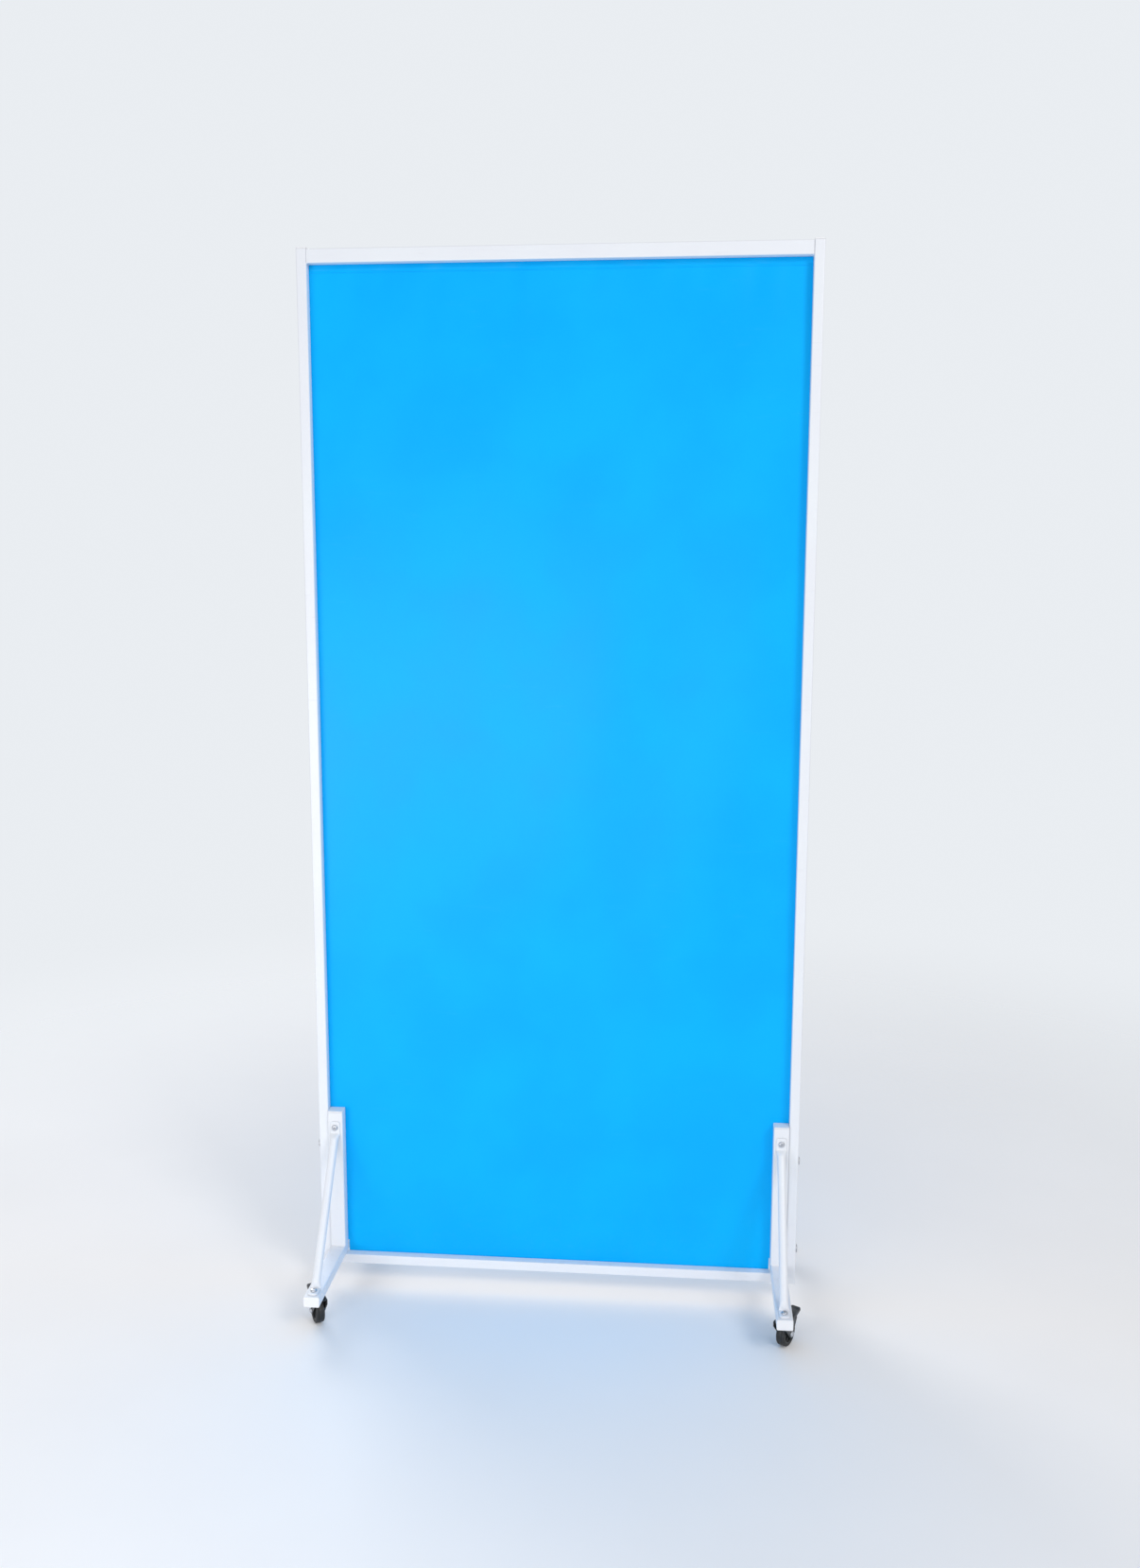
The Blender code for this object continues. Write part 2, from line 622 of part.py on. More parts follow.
def add_castors(rubber, black_steel, zinc):
    meshes = {
        "stem": finished_mesh("castor_stem", stem_shape()),
        "nut": nut_mesh("castor_nut", STEM_NUT_RADIUS, STEM_NUT_HEIGHT, STEM_RADIUS + GAP),
        "axle": finished_mesh("castor_axle", axle_shape()),
        "wheel": finished_mesh("castor_wheel", wheel_shape()),
        "plain_fork": fork_mesh("castor_fork", False),
        "braked_fork": fork_mesh("castor_fork_braked", True),
        "pedal": pedal_mesh("brake_pedal"),
    }
    axle_place = (TRAIL, 0.0, WHEEL_RADIUS)
    for place_name, heading in CASTOR_HEADINGS.items():
        end_name, side_name = place_name.split("_")
        braked = end_name == "front"
        x = SIDES[side_name] * LEG_X
        y = -CASTOR_Y if braked else CASTOR_Y
        add_object(f"castor_stem_{place_name}", meshes["stem"], zinc, (x, y, 0.0))
        nut_z = FOOT_BOTTOM + LEG_WALL + GAP
        add_object(f"castor_nut_{place_name}", meshes["nut"], zinc, (x, y, nut_z))
        swivel = bpy.data.objects.new(f"swivel_axis_{place_name}", None)
        swivel.location = (x, y, 0.0)
        swivel.rotation_euler = (0.0, 0.0, radians(heading))
        bpy.context.scene.collection.objects.link(swivel)
        fork = meshes["braked_fork" if braked else "plain_fork"]
        add_object(f"castor_fork_{place_name}", fork, black_steel, parent=swivel)
        add_object(f"castor_axle_{place_name}", meshes["axle"], zinc, axle_place, swivel)
        add_object(f"castor_wheel_{place_name}", meshes["wheel"], rubber, axle_place, swivel)
        if braked:
            pivot = (PEDAL_PIVOT_X, 0.0, PEDAL_PIVOT_Z)
            add_object(f"brake_pedal_{place_name}", meshes["pedal"], black_steel, pivot, swivel)


def main():
    clear_scene()
    paint = make_material("white_powder_coat", (0.88, 0.89, 0.94), 0.42, 0.0)
    vinyl = make_material("blue_vinyl", (0.007, 0.45, 0.93), 0.28, 0.0)
    cap_plastic = make_material("white_plastic", (0.86, 0.87, 0.90), 0.5, 0.0)
    rubber = make_material("black_rubber", (0.012, 0.013, 0.014), 0.7, 0.0)
    black_steel = make_material("black_fork_paint", (0.015, 0.017, 0.02), 0.4, 0.0)
    zinc = make_material("zinc_plate", (0.62, 0.63, 0.66), 0.35, 1.0)
    add_frame(paint, cap_plastic)
    add_curtain(vinyl, paint)
    add_legs(paint, cap_plastic, zinc)
    add_castors(rubber, black_steel, zinc)


main()
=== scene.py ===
# %% [markdown]
# # A mobile welding screen
#
# One sheet of blue vinyl is clamped to the back of a white tube frame, which stands on two
# T-shaped legs with castors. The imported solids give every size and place. This notebook keeps
# the tubes as they are, gives them paint, and models the pieces that need a finer shape: the
# curtain, the moulded caps, the braces, the screws, the weld beads and the castors.

import json
from math import degrees, pi, radians, sin, tau

import bmesh
import bpy
from mathutils import Matrix, Vector


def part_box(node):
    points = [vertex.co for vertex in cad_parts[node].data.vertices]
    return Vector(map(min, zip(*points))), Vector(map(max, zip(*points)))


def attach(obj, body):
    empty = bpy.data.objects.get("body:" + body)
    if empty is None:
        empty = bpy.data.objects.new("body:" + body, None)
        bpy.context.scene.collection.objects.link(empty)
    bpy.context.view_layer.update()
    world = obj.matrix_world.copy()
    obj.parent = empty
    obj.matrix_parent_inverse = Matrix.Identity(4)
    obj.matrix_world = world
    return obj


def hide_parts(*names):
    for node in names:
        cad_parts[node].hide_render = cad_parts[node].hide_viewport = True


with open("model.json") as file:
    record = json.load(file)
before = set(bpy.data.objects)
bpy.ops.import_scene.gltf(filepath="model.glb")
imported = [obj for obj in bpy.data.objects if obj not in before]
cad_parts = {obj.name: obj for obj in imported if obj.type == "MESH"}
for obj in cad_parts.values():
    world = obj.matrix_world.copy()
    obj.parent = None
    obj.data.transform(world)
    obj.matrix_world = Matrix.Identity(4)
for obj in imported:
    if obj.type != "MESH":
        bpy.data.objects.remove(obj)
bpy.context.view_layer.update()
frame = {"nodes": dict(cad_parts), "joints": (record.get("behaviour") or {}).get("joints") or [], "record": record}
nodes = frame["nodes"]
joints = {joint["name"]: joint for joint in frame["joints"]}

# %% [markdown]
# ## Small tools for modelling
#
# Each new piece starts as a primitive, is shaped in edit mode and is finished with modifiers
# that are applied. An operator works on everything that is selected, so `start` first clears
# the selection, and `pick` then selects faces, edges or corners by where they are.

# %% Primitives, selections and modifiers
AXIS_X = Vector((1.0, 0.0, 0.0))
AXIS_Y = Vector((0.0, 1.0, 0.0))
AXIS_Z = Vector((0.0, 0.0, 1.0))
# A point this close to a plane counts as on it.
NEAR = 0.0001


def start(add, scale=(1.0, 1.0, 1.0), **settings):
    """Adds a primitive on its own, and makes its size and place part of its mesh."""
    bpy.ops.object.select_all(action="DESELECT")
    add(**settings)
    bpy.context.object.scale = scale
    bpy.ops.object.transform_apply(location=True, rotation=True, scale=True)
    return bpy.context.object


def choose(obj):
    """Makes one object the selected and active one."""
    bpy.ops.object.select_all(action="DESELECT")
    obj.select_set(True)
    bpy.context.view_layer.objects.active = obj


def edit(obj):
    choose(obj)
    bpy.ops.object.mode_set(mode="EDIT")


def done():
    bpy.ops.object.mode_set(mode="OBJECT")


def middle(item):
    """The middle of a face, an edge or a corner."""
    if isinstance(item, bmesh.types.BMVert):
        return item.co
    return sum((vert.co for vert in item.verts), Vector()) / len(item.verts)


def pick(kind, test):
    """In edit mode, selects the items of one kind that pass a test, and says how many."""
    bpy.ops.mesh.select_mode(type=kind)
    bpy.ops.mesh.select_all(action="DESELECT")
    shape = bmesh.from_edit_mesh(bpy.context.object.data)
    shape.normal_update()
    found = 0
    for item in {"VERT": shape.verts, "EDGE": shape.edges, "FACE": shape.faces}[kind]:
        if test(item):
            item.select_set(True)
            found += 1
    shape.select_flush_mode()
    bmesh.update_edit_mesh(bpy.context.object.data)
    return found


def move_out(offset):
    """Extrudes the selected faces and moves them."""
    bpy.ops.mesh.extrude_region_move(TRANSFORM_OT_translate={"value": tuple(offset)})


def apply_modifier(kind, **settings):
    """Adds a modifier to the active object, sets it and applies it."""
    obj = bpy.context.object
    bpy.ops.object.modifier_add(type=kind)
    modifier = obj.modifiers[-1]
    for key, value in settings.items():
        setattr(modifier, key, value)
    bpy.ops.object.modifier_apply(modifier=modifier.name)


def boolean(obj, tool, operation="DIFFERENCE"):
    """Cuts a tool out of an object, or joins it on, and removes the tool."""
    choose(obj)
    apply_modifier("BOOLEAN", object=tool, operation=operation, solver="MANIFOLD")
    bpy.data.objects.remove(tool, do_unlink=True)


def soften(obj, width, segments=2, angle=30):
    """Rounds the sharp edges of a piece."""
    choose(obj)
    apply_modifier(
        "BEVEL",
        width=width,
        segments=segments,
        limit_method="ANGLE",
        angle_limit=radians(angle),
        use_clamp_overlap=True,
    )


# %% Finishing and copying pieces
def shade(obj, angle=32):
    """Smooth shading that keeps flat faces flat, with a sharp line at each turn over an angle."""
    choose(obj)
    bpy.ops.object.shade_smooth_by_angle(angle=radians(angle))
    apply_modifier("WEIGHTED_NORMAL", weight=60, keep_sharp=True)


def copy_of(obj, matrix):
    """A copy with its own mesh, moved by a matrix that becomes part of the mesh."""
    twin = obj.copy()
    twin.data = obj.data.copy()
    bpy.context.scene.collection.objects.link(twin)
    twin.data.transform(matrix)
    if matrix.determinant() < 0:
        twin.data.flip_normals()
    return twin


def keep(obj, name, body, material, slot, *replaced):
    """Names a finished piece, paints it and lets it ride on its body."""
    obj.name = name
    obj.data.name = name
    obj.data.materials.clear()
    obj.data.materials.append(material)
    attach(obj, body)
    if replaced:
        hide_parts(*replaced)
    return obj


def facing(axis, place):
    """A matrix that turns +Z onto an axis and then moves to a place."""
    return Matrix.Translation(place) @ AXIS_Z.rotation_difference(axis).to_matrix().to_4x4()


# %% [markdown]
# ## Surface effects that several finishes share
#
# Powder coat, moulded plastic and vinyl all have a fine grain, and everything in a workshop
# gathers dust near the floor and light scuffs. Each effect is one node group. A group only
# puts out masks and heights, and each material decides what they do to its own shader.


# %% Node helpers
def link_or_set(tree, socket, value):
    if isinstance(value, bpy.types.NodeSocket):
        tree.links.new(value, socket)
    else:
        socket.default_value = value


def add_node(tree, kind, settings=None, **inputs):
    """Adds a node; an underscore in an input's name stands for a space."""
    made = tree.nodes.new(kind)
    for key, value in (settings or {}).items():
        setattr(made, key, value)
    for key, value in inputs.items():
        link_or_set(tree, made.inputs[key.replace("_", " ")], value)
    return made


def calculate(tree, operation, first, second=0.0, clamp=False):
    made = tree.nodes.new("ShaderNodeMath")
    made.operation = operation
    made.use_clamp = clamp
    link_or_set(tree, made.inputs[0], first)
    link_or_set(tree, made.inputs[1], second)
    return made.outputs[0]


def spread(tree, value, low, high, to_low=0.0, to_high=1.0):
    """Stretches a range of values onto another, clamped."""
    made = add_node(tree, "ShaderNodeMapRange", {"interpolation_type": "SMOOTHSTEP"}, Value=value)
    for name, number in zip(("From Min", "From Max", "To Min", "To Max"), (low, high, to_low, to_high)):
        link_or_set(tree, made.inputs[name], number)
    return made.outputs["Result"]


def new_group(name, inputs, outputs):
    """An empty node group with number sockets."""
    group = bpy.data.node_groups.new(name, "ShaderNodeTree")
    for label, value in inputs.items():
        socket = group.interface.new_socket(label, in_out="INPUT", socket_type="NodeSocketFloat")
        socket.default_value = value
    for label in outputs:
        group.interface.new_socket(label, in_out="OUTPUT", socket_type="NodeSocketFloat")
    return group, group.nodes.new("NodeGroupInput"), group.nodes.new("NodeGroupOutput")


# %% The shared effects
grain, grain_in, grain_out = new_group("coat_grain", {"Scale": 700.0}, ("Height", "Tone"))
coords = grain.nodes.new("ShaderNodeTexCoord").outputs["Object"]
fine = add_node(grain, "ShaderNodeTexNoise", Vector=coords, Scale=grain_in.outputs["Scale"], Detail=2.0)
wide = add_node(grain, "ShaderNodeTexNoise", Vector=coords, Scale=5.0, Detail=3.0)
grain.links.new(fine.outputs["Fac"], grain_out.inputs["Height"])
grain.links.new(spread(grain, wide.outputs["Fac"], 0.3, 0.7), grain_out.inputs["Tone"])

dust, dust_in, dust_out = new_group("floor_dust", {"Reach": 0.25, "Amount": 0.5}, ("Mask",))
coords = dust.nodes.new("ShaderNodeTexCoord").outputs["Object"]
height = add_node(dust, "ShaderNodeSeparateXYZ", Vector=coords).outputs["Z"]
low_down = spread(dust, height, dust_in.outputs["Reach"], 0.0)
normal = dust.nodes.new("ShaderNodeNewGeometry").outputs["Normal"]
facing_up = add_node(dust, "ShaderNodeSeparateXYZ", Vector=normal).outputs["Z"]
upward = spread(dust, facing_up, -0.1, 1.0, 0.15, 1.0)
specks = add_node(dust, "ShaderNodeTexNoise", Vector=coords, Scale=90.0, Detail=5.0, Roughness=0.65)
specks = spread(dust, specks.outputs["Fac"], 0.45, 0.85)
settled = calculate(dust, "MULTIPLY", calculate(dust, "MULTIPLY", low_down, upward), specks)
settled = calculate(dust, "MULTIPLY", settled, dust_in.outputs["Amount"], clamp=True)
dust.links.new(settled, dust_out.inputs["Mask"])

scuffs, scuffs_in, scuffs_out = new_group("light_scuffs", {"Scale": 14.0, "Amount": 0.5}, ("Mask",))
coords = scuffs.nodes.new("ShaderNodeTexCoord").outputs["Object"]
turned_coords = add_node(
    scuffs,
    "ShaderNodeMapping",
    Vector=coords,
    Rotation=(0.4, 0.9, 0.2),
    Scale=(1.0, 1.0, 9.0),
)
marks = add_node(
    scuffs,
    "ShaderNodeTexNoise",
    Vector=turned_coords.outputs["Vector"],
    Scale=scuffs_in.outputs["Scale"],
    Detail=6.0,
    Roughness=0.7,
)
marks = spread(scuffs, marks.outputs["Fac"], 0.58, 0.72)
patches = add_node(scuffs, "ShaderNodeTexNoise", Vector=coords, Scale=3.0, Detail=2.0)
patches = spread(scuffs, patches.outputs["Fac"], 0.45, 0.65)
marks = calculate(scuffs, "MULTIPLY", marks, patches)
marks = calculate(scuffs, "MULTIPLY", marks, scuffs_in.outputs["Amount"])
scuffs.links.new(marks, scuffs_out.inputs["Mask"])
print("node groups:", grain.name, dust.name, scuffs.name)

# %% [markdown]
# ## The finishes
#
# One function builds all the finishes: a base colour that drifts a little towards a second
# one, a fine bump, and dust and scuffs that change both the colour and the gloss. What stays
# the same all over is set on the shader itself.


# %% Build the materials
def group_node(tree, group, **values):
    made = tree.nodes.new("ShaderNodeGroup")
    made.node_tree = group
    for name, value in values.items():
        made.inputs[name].default_value = value
    return made


def blend_colours(tree, factor, first, second):
    made = add_node(tree, "ShaderNodeMix", {"data_type": "RGBA"})
    link_or_set(tree, made.inputs["Factor"], factor)
    link_or_set(tree, made.inputs["A"], first)
    link_or_set(tree, made.inputs["B"], second)
    return made.outputs["Result"]


DUST_COLOUR = (0.42, 0.40, 0.38, 1.0)
# How much rougher the drift, the scuffs and the dust make a surface.
DRIFT_ROUGHENING = 0.06
SCUFF_ROUGHENING = 0.25
DUST_ROUGHENING = 0.5


def finish(
    name,
    colour,
    drift,
    roughness,
    grain_scale,
    grain_depth,
    dust_amount=0.4,
    dust_reach=0.25,
    scuff_colour=(0.5, 0.5, 0.5, 1.0),
    scuff_amount=0.3,
    **constants,
):
    """A coated or moulded surface; constants go straight onto the shader."""
    material = bpy.data.materials.new(name)
    material.use_nodes = True
    tree = material.node_tree
    shader = tree.nodes["Principled BSDF"]
    grain_node = group_node(tree, grain, Scale=grain_scale)
    dust_node = group_node(tree, dust, Reach=dust_reach, Amount=dust_amount)
    scuff_node = group_node(tree, scuffs, Scale=14.0, Amount=scuff_amount)
    tint = blend_colours(tree, grain_node.outputs["Tone"], (*colour, 1.0), (*drift, 1.0))
    tint = blend_colours(tree, scuff_node.outputs["Mask"], tint, scuff_colour)
    tint = blend_colours(tree, dust_node.outputs["Mask"], tint, DUST_COLOUR)
    tree.links.new(tint, shader.inputs["Base Color"])
    gloss = calculate(tree, "MULTIPLY", grain_node.outputs["Tone"], DRIFT_ROUGHENING)
    gloss = calculate(tree, "ADD", gloss, roughness)
    scuffed = calculate(tree, "MULTIPLY", scuff_node.outputs["Mask"], SCUFF_ROUGHENING)
    gloss = calculate(tree, "ADD", gloss, scuffed)
    dusty = calculate(tree, "MULTIPLY", dust_node.outputs["Mask"], DUST_ROUGHENING)
    gloss = calculate(tree, "ADD", gloss, dusty, clamp=True)
    tree.links.new(gloss, shader.inputs["Roughness"])
    bump = add_node(
        tree,
        "ShaderNodeBump",
        Strength=0.6,
        Distance=grain_depth,
        Height=grain_node.outputs["Height"],
    )
    tree.links.new(bump.outputs["Normal"], shader.inputs["Normal"])
    for socket, value in constants.items():
        shader.inputs[socket.replace("_", " ")].default_value = value
    return material


frame_paint = finish(
    "white_powder_coat",
    colour=(0.81, 0.84, 0.88),
    drift=(0.79, 0.81, 0.86),
    roughness=0.36,
    grain_scale=650.0,
    grain_depth=0.00006,
    dust_amount=0.22,
    scuff_colour=(0.55, 0.55, 0.58, 1.0),
    scuff_amount=0.18,
)
cap_plastic = finish(
    "white_moulded_plastic",
    colour=(0.86, 0.865, 0.88),
    drift=(0.83, 0.835, 0.86),
    roughness=0.48,
    grain_scale=1500.0,
    grain_depth=0.00004,
    dust_amount=0.22,
    scuff_amount=0.15,
)
vinyl = finish(
    "blue_vinyl",
    colour=(0.0, 0.42, 0.94),
    drift=(0.0, 0.455, 0.96),
    roughness=0.32,
    grain_scale=420.0,
    grain_depth=0.00003,
    dust_amount=0.10,
    dust_reach=0.3,
    scuff_colour=(0.06, 0.50, 0.93, 1.0),
    scuff_amount=0.12,
    Specular_IOR_Level=0.12,
)
tyre_rubber = finish(
    "black_tyre_rubber",
    colour=(0.010, 0.011, 0.012),
    drift=(0.018, 0.020, 0.021),
    roughness=0.55,
    grain_scale=1100.0,
    grain_depth=0.00008,
    dust_amount=0.55,
    dust_reach=0.08,
    scuff_colour=(0.06, 0.06, 0.06, 1.0),
    scuff_amount=0.6,
)
hub_plastic = finish(
    "black_hub_plastic",
    colour=(0.018, 0.020, 0.022),
    drift=(0.026, 0.030, 0.032),
    roughness=0.40,
    grain_scale=1600.0,
    grain_depth=0.00003,
    dust_amount=0.4,
    dust_reach=0.08,
    scuff_amount=0.1,
)
castor_paint = finish(
    "black_castor_paint",
    colour=(0.013, 0.015, 0.018),
    drift=(0.020, 0.024, 0.027),
    roughness=0.30,
    grain_scale=900.0,
    grain_depth=0.00004,
    dust_amount=0.35,
    dust_reach=0.1,
    scuff_colour=(0.20, 0.20, 0.20, 1.0),
    scuff_amount=0.3,
)
zinc = finish(
    "zinc_plate",
    colour=(0.62, 0.63, 0.66),
    drift=(0.52, 0.54, 0.58),
    roughness=0.28,
    grain_scale=2400.0,
    grain_depth=0.00003,
    dust_amount=0.3,
    scuff_colour=(0.35, 0.35, 0.36, 1.0),
    scuff_amount=0.4,
    Metallic=1.0,
)
finishes = (frame_paint, cap_plastic, vinyl, tyre_rubber, hub_plastic, castor_paint, zinc)
print("finishes:", [material.name for material in finishes])

# %% [markdown]
# ## The tubes, the strips and what lies inside
#
# The posts, rails, leg uprights, feet and clamp strips already have their true shape, so they
# keep it and only get their finish. The record says which finish belongs to each solid.

# %% Give every solid its finish
FINISHES = {
    "frame_paint": frame_paint,
    "curtain_vinyl": vinyl,
    "cap_plastic": cap_plastic,
    "wheel_rubber": tyre_rubber,
    "castor_paint": castor_paint,
    "zinc_fastener": zinc,
}
for subpart in frame["record"]["subparts"]:
    solid = nodes[subpart["node"]]
    for slot in solid.material_slots:
        slot.material = FINISHES[subpart["material_slot"]]
print("painted", len(nodes), "solids")

# %% [markdown]
# ## The curtain
#
# The real sheet is 1 mm vinyl, cut to the frame's outline with its two lower corners cut out
# round the feet. It is clamped all round, so it is flat at its edges and only a little loose
# inside them: it bellies by a few millimetres and ripples softly below the top rail. A grid
# primitive is cut along the corners' lines, its points are moved by a few smooth waves that
# fade out at the clamped edges, and Solidify gives the thickness. A clamped sheet keeps the
# size that it was cut to, so no cloth simulation is needed.

# %% Cut the sheet
CURTAIN_THICKNESS = 0.001
CORNER_CLEARANCE = 0.002
curtain_low, curtain_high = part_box("curtain")
foot_low, foot_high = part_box("foot_right")
opening_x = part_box("post_right")[0].x
opening_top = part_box("top_rail")[0].z
opening_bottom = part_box("bottom_rail")[1].z
corner_x = foot_low.x - CORNER_CLEARANCE
corner_z = foot_high.z + CORNER_CLEARANCE
sheet_width = curtain_high.x - curtain_low.x
sheet_height = curtain_high.z - curtain_low.z
sheet_y = (curtain_low.y + curtain_high.y) / 2

curtain = start(
    bpy.ops.mesh.primitive_grid_add,
    x_subdivisions=96,
    y_subdivisions=200,
    size=1.0,
    location=(0.0, sheet_y, (curtain_low.z + curtain_high.z) / 2),
    rotation=(pi / 2, 0.0, 0.0),
    scale=(sheet_width, sheet_height, 1.0),
)
edit(curtain)
for cut_at, across in (
    ((corner_x, 0.0, 0.0), AXIS_X),
    ((-corner_x, 0.0, 0.0), AXIS_X),
    ((0.0, 0.0, corner_z), AXIS_Z),
):
    bpy.ops.mesh.select_all(action="SELECT")
    bpy.ops.mesh.bisect(plane_co=cut_at, plane_no=across)
pick("FACE", lambda face: abs(middle(face).x) > corner_x and middle(face).z < corner_z)
bpy.ops.mesh.delete(type="FACE")
pick("VERT", lambda vert: True)
bpy.ops.mesh.remove_doubles(threshold=0.00001)
done()


# %% Let it belly and ripple
def ease(value):
    value = min(max(value, 0.0), 1.0)
    return value * value * (3.0 - 2.0 * value)


# Each wave: its depth, its wavelengths across and up, and where it starts.
SLOW_WAVES = (
    (0.0016, 0.90, 1.60, 0.3),
    (0.0009, 0.46, 2.40, 1.9),
    (0.0006, -0.38, 0.95, 4.1),
    (0.0005, 0.27, -1.30, 2.6),
)
RIPPLES = ((0.0007, 0.115, 0.4), (0.0005, 0.073, 2.2), (0.0004, 0.049, 5.1))
RIPPLE_REACH = 0.16


def looseness(x, z):
    """0 where the sheet is clamped, 1 well inside the opening."""
    from_side = (opening_x - abs(x)) / 0.12
    from_ends = min((opening_top - z) / 0.10, (z - opening_bottom) / 0.10)
    return ease(from_side) * ease(from_ends)


def belly(x, z):
    """How far the sheet stands behind its clamped plane."""
    depth = 0.0
    for size, across, up, offset in SLOW_WAVES:
        depth += size * sin(tau * (x / across + z / up) + offset)
    depth *= looseness(x, z)
    below_rail = opening_top - z
    if 0.0 < below_rail < RIPPLE_REACH:
        fade = ease(below_rail / 0.012) * ease(1.0 - below_rail / RIPPLE_REACH)
        fade *= ease((opening_x - abs(x)) / 0.03)
        for size, across, offset in RIPPLES:
            depth += size * fade * sin(tau * x / across + offset + 2.0 * below_rail / RIPPLE_REACH)
    return depth


for vert in curtain.data.vertices:
    vert.co.y += belly(vert.co.x, vert.co.z)
choose(curtain)
apply_modifier("SOLIDIFY", thickness=CURTAIN_THICKNESS, offset=0.0, use_rim=True)
shade(curtain, 60)
keep(curtain, "curtain_sheet", "screen", vinyl, "curtain_vinyl", "curtain")
print(len(curtain.data.polygons), "faces in the sheet")

# %% [markdown]
# The top edge is folded to the front and welded down, which leaves a second layer that ends a
# little below the rail, with the flat mark of the weld along it. It follows the same waves as
# the sheet, so it is made in the same way from a narrow grid.

# %% The welded top hem
HEM_BELOW_RAIL = 0.014
HEM_THICKNESS = 0.0006
hem_low = opening_top - HEM_BELOW_RAIL
hem_high = opening_top - 0.0004
hem_front = sheet_y - CURTAIN_THICKNESS / 2 - HEM_THICKNESS / 2
hem = start(
    bpy.ops.mesh.primitive_grid_add,
    x_subdivisions=192,
    y_subdivisions=14,
    size=1.0,
    location=(0.0, hem_front, (hem_low + hem_high) / 2),
    rotation=(pi / 2, 0.0, 0.0),
    scale=(2 * (opening_x - 0.0004), hem_high - hem_low, 1.0),
)
WELD_MARK_HEIGHT = 0.0035
for vert in hem.data.vertices:
    vert.co.y += belly(vert.co.x, vert.co.z)
    in_mark = ease(1.0 - abs(vert.co.z - hem_low - WELD_MARK_HEIGHT) / 0.0025)
    knurl = 0.5 + 0.5 * sin(tau * vert.co.x / 0.010)
    vert.co.y += in_mark * (0.00035 + 0.0001 * knurl)
choose(hem)
apply_modifier("SOLIDIFY", thickness=HEM_THICKNESS, offset=0.0, use_rim=True)
shade(hem, 60)
keep(hem, "curtain_top_hem", "screen", vinyl, "curtain_vinyl")
print("hem", round(hem_high - hem_low, 4), "m high")

# %% [markdown]
# ## Moulded end caps
#
# Every open tube end has a white plastic plug: a rounded flange, slightly domed, on a tail that
# grips inside the tube. One is modelled for each kind of end, lying on the origin, and is
# copied to the left and right sides.

# %% Model the caps and put them in
CAP_FLANGE = 0.002
CAP_TAIL = 0.009
# Each step of a cap's dome: how far it rises, and how much smaller its ring gets.
CAP_DOME = ((0.0002, 0.94), (0.00012, 0.88), (0.00006, 0.80), (0.00002, 0.70))


def tube_cap(width, depth, wall):
    """A plug whose flange lies on the origin, with its tail below."""
    cap = start(
        bpy.ops.mesh.primitive_cube_add,
        size=1.0,
        location=(0, 0, CAP_FLANGE / 2),
        scale=(width, depth, CAP_FLANGE),
    )
    edit(cap)
    pick("EDGE", lambda edge: abs(middle(edge).x) > 0.001 and abs(middle(edge).y) > 0.001)
    bpy.ops.mesh.bevel(offset=wall + 0.001, segments=5, affect="EDGES")
    pick("FACE", lambda face: face.normal.z < -0.9)
    bpy.ops.mesh.inset(thickness=wall + 0.0003)
    move_out((0, 0, -CAP_TAIL))
    pick("FACE", lambda face: face.normal.z > 0.9)
    for rise, smaller in CAP_DOME:
        move_out((0, 0, rise))
        bpy.ops.transform.resize(value=(smaller, smaller, 1), center_override=(0, 0, 0))
    done()
    soften(cap, 0.0003, segments=2, angle=40)
    shade(cap, 50)
    return cap


def size_of(node):
    low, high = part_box(node)
    return high - low


post_size = size_of("post_left")
leg_size = size_of("leg_upright_left")
foot_size = size_of("foot_left")
POST_WALL = 0.0012
LEG_WALL = 0.0015
caps = {
    "post_cap": (tube_cap(post_size.x, post_size.y, POST_WALL), AXIS_Z),
    "post_plug": (tube_cap(post_size.x, post_size.y, POST_WALL), -AXIS_Z),
    "leg_cap": (tube_cap(leg_size.x, leg_size.y, LEG_WALL), AXIS_Z),
    "foot_plug_front": (tube_cap(foot_size.x, foot_size.z, LEG_WALL), -AXIS_Y),
    "foot_plug_rear": (tube_cap(foot_size.x, foot_size.z, LEG_WALL), AXIS_Y),
}
for kind, (cap, axis) in caps.items():
    for side in ("left", "right"):
        node = f"{kind}_{side}"
        low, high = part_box(node)
        place = (low + high) / 2
        along = [abs(component) > 0.5 for component in axis].index(True)
        outer = high[along] if axis[along] > 0 else low[along]
        place[along] = outer - axis[along] * CAP_FLANGE
        piece = copy_of(cap, facing(axis, place))
        keep(piece, f"{node}_moulded", "screen", cap_plastic, "cap_plastic", node)
    bpy.data.objects.remove(cap, do_unlink=True)

# %% [markdown]
# ## Screws
#
# Two kinds of head show: low socket-head bolts that hold the legs to the posts, and
# cross-recess screws at the braces and along the clamp strips. A head is a cylinder whose top
# edge is beveled into a dome, and its recess is cut with a Boolean.


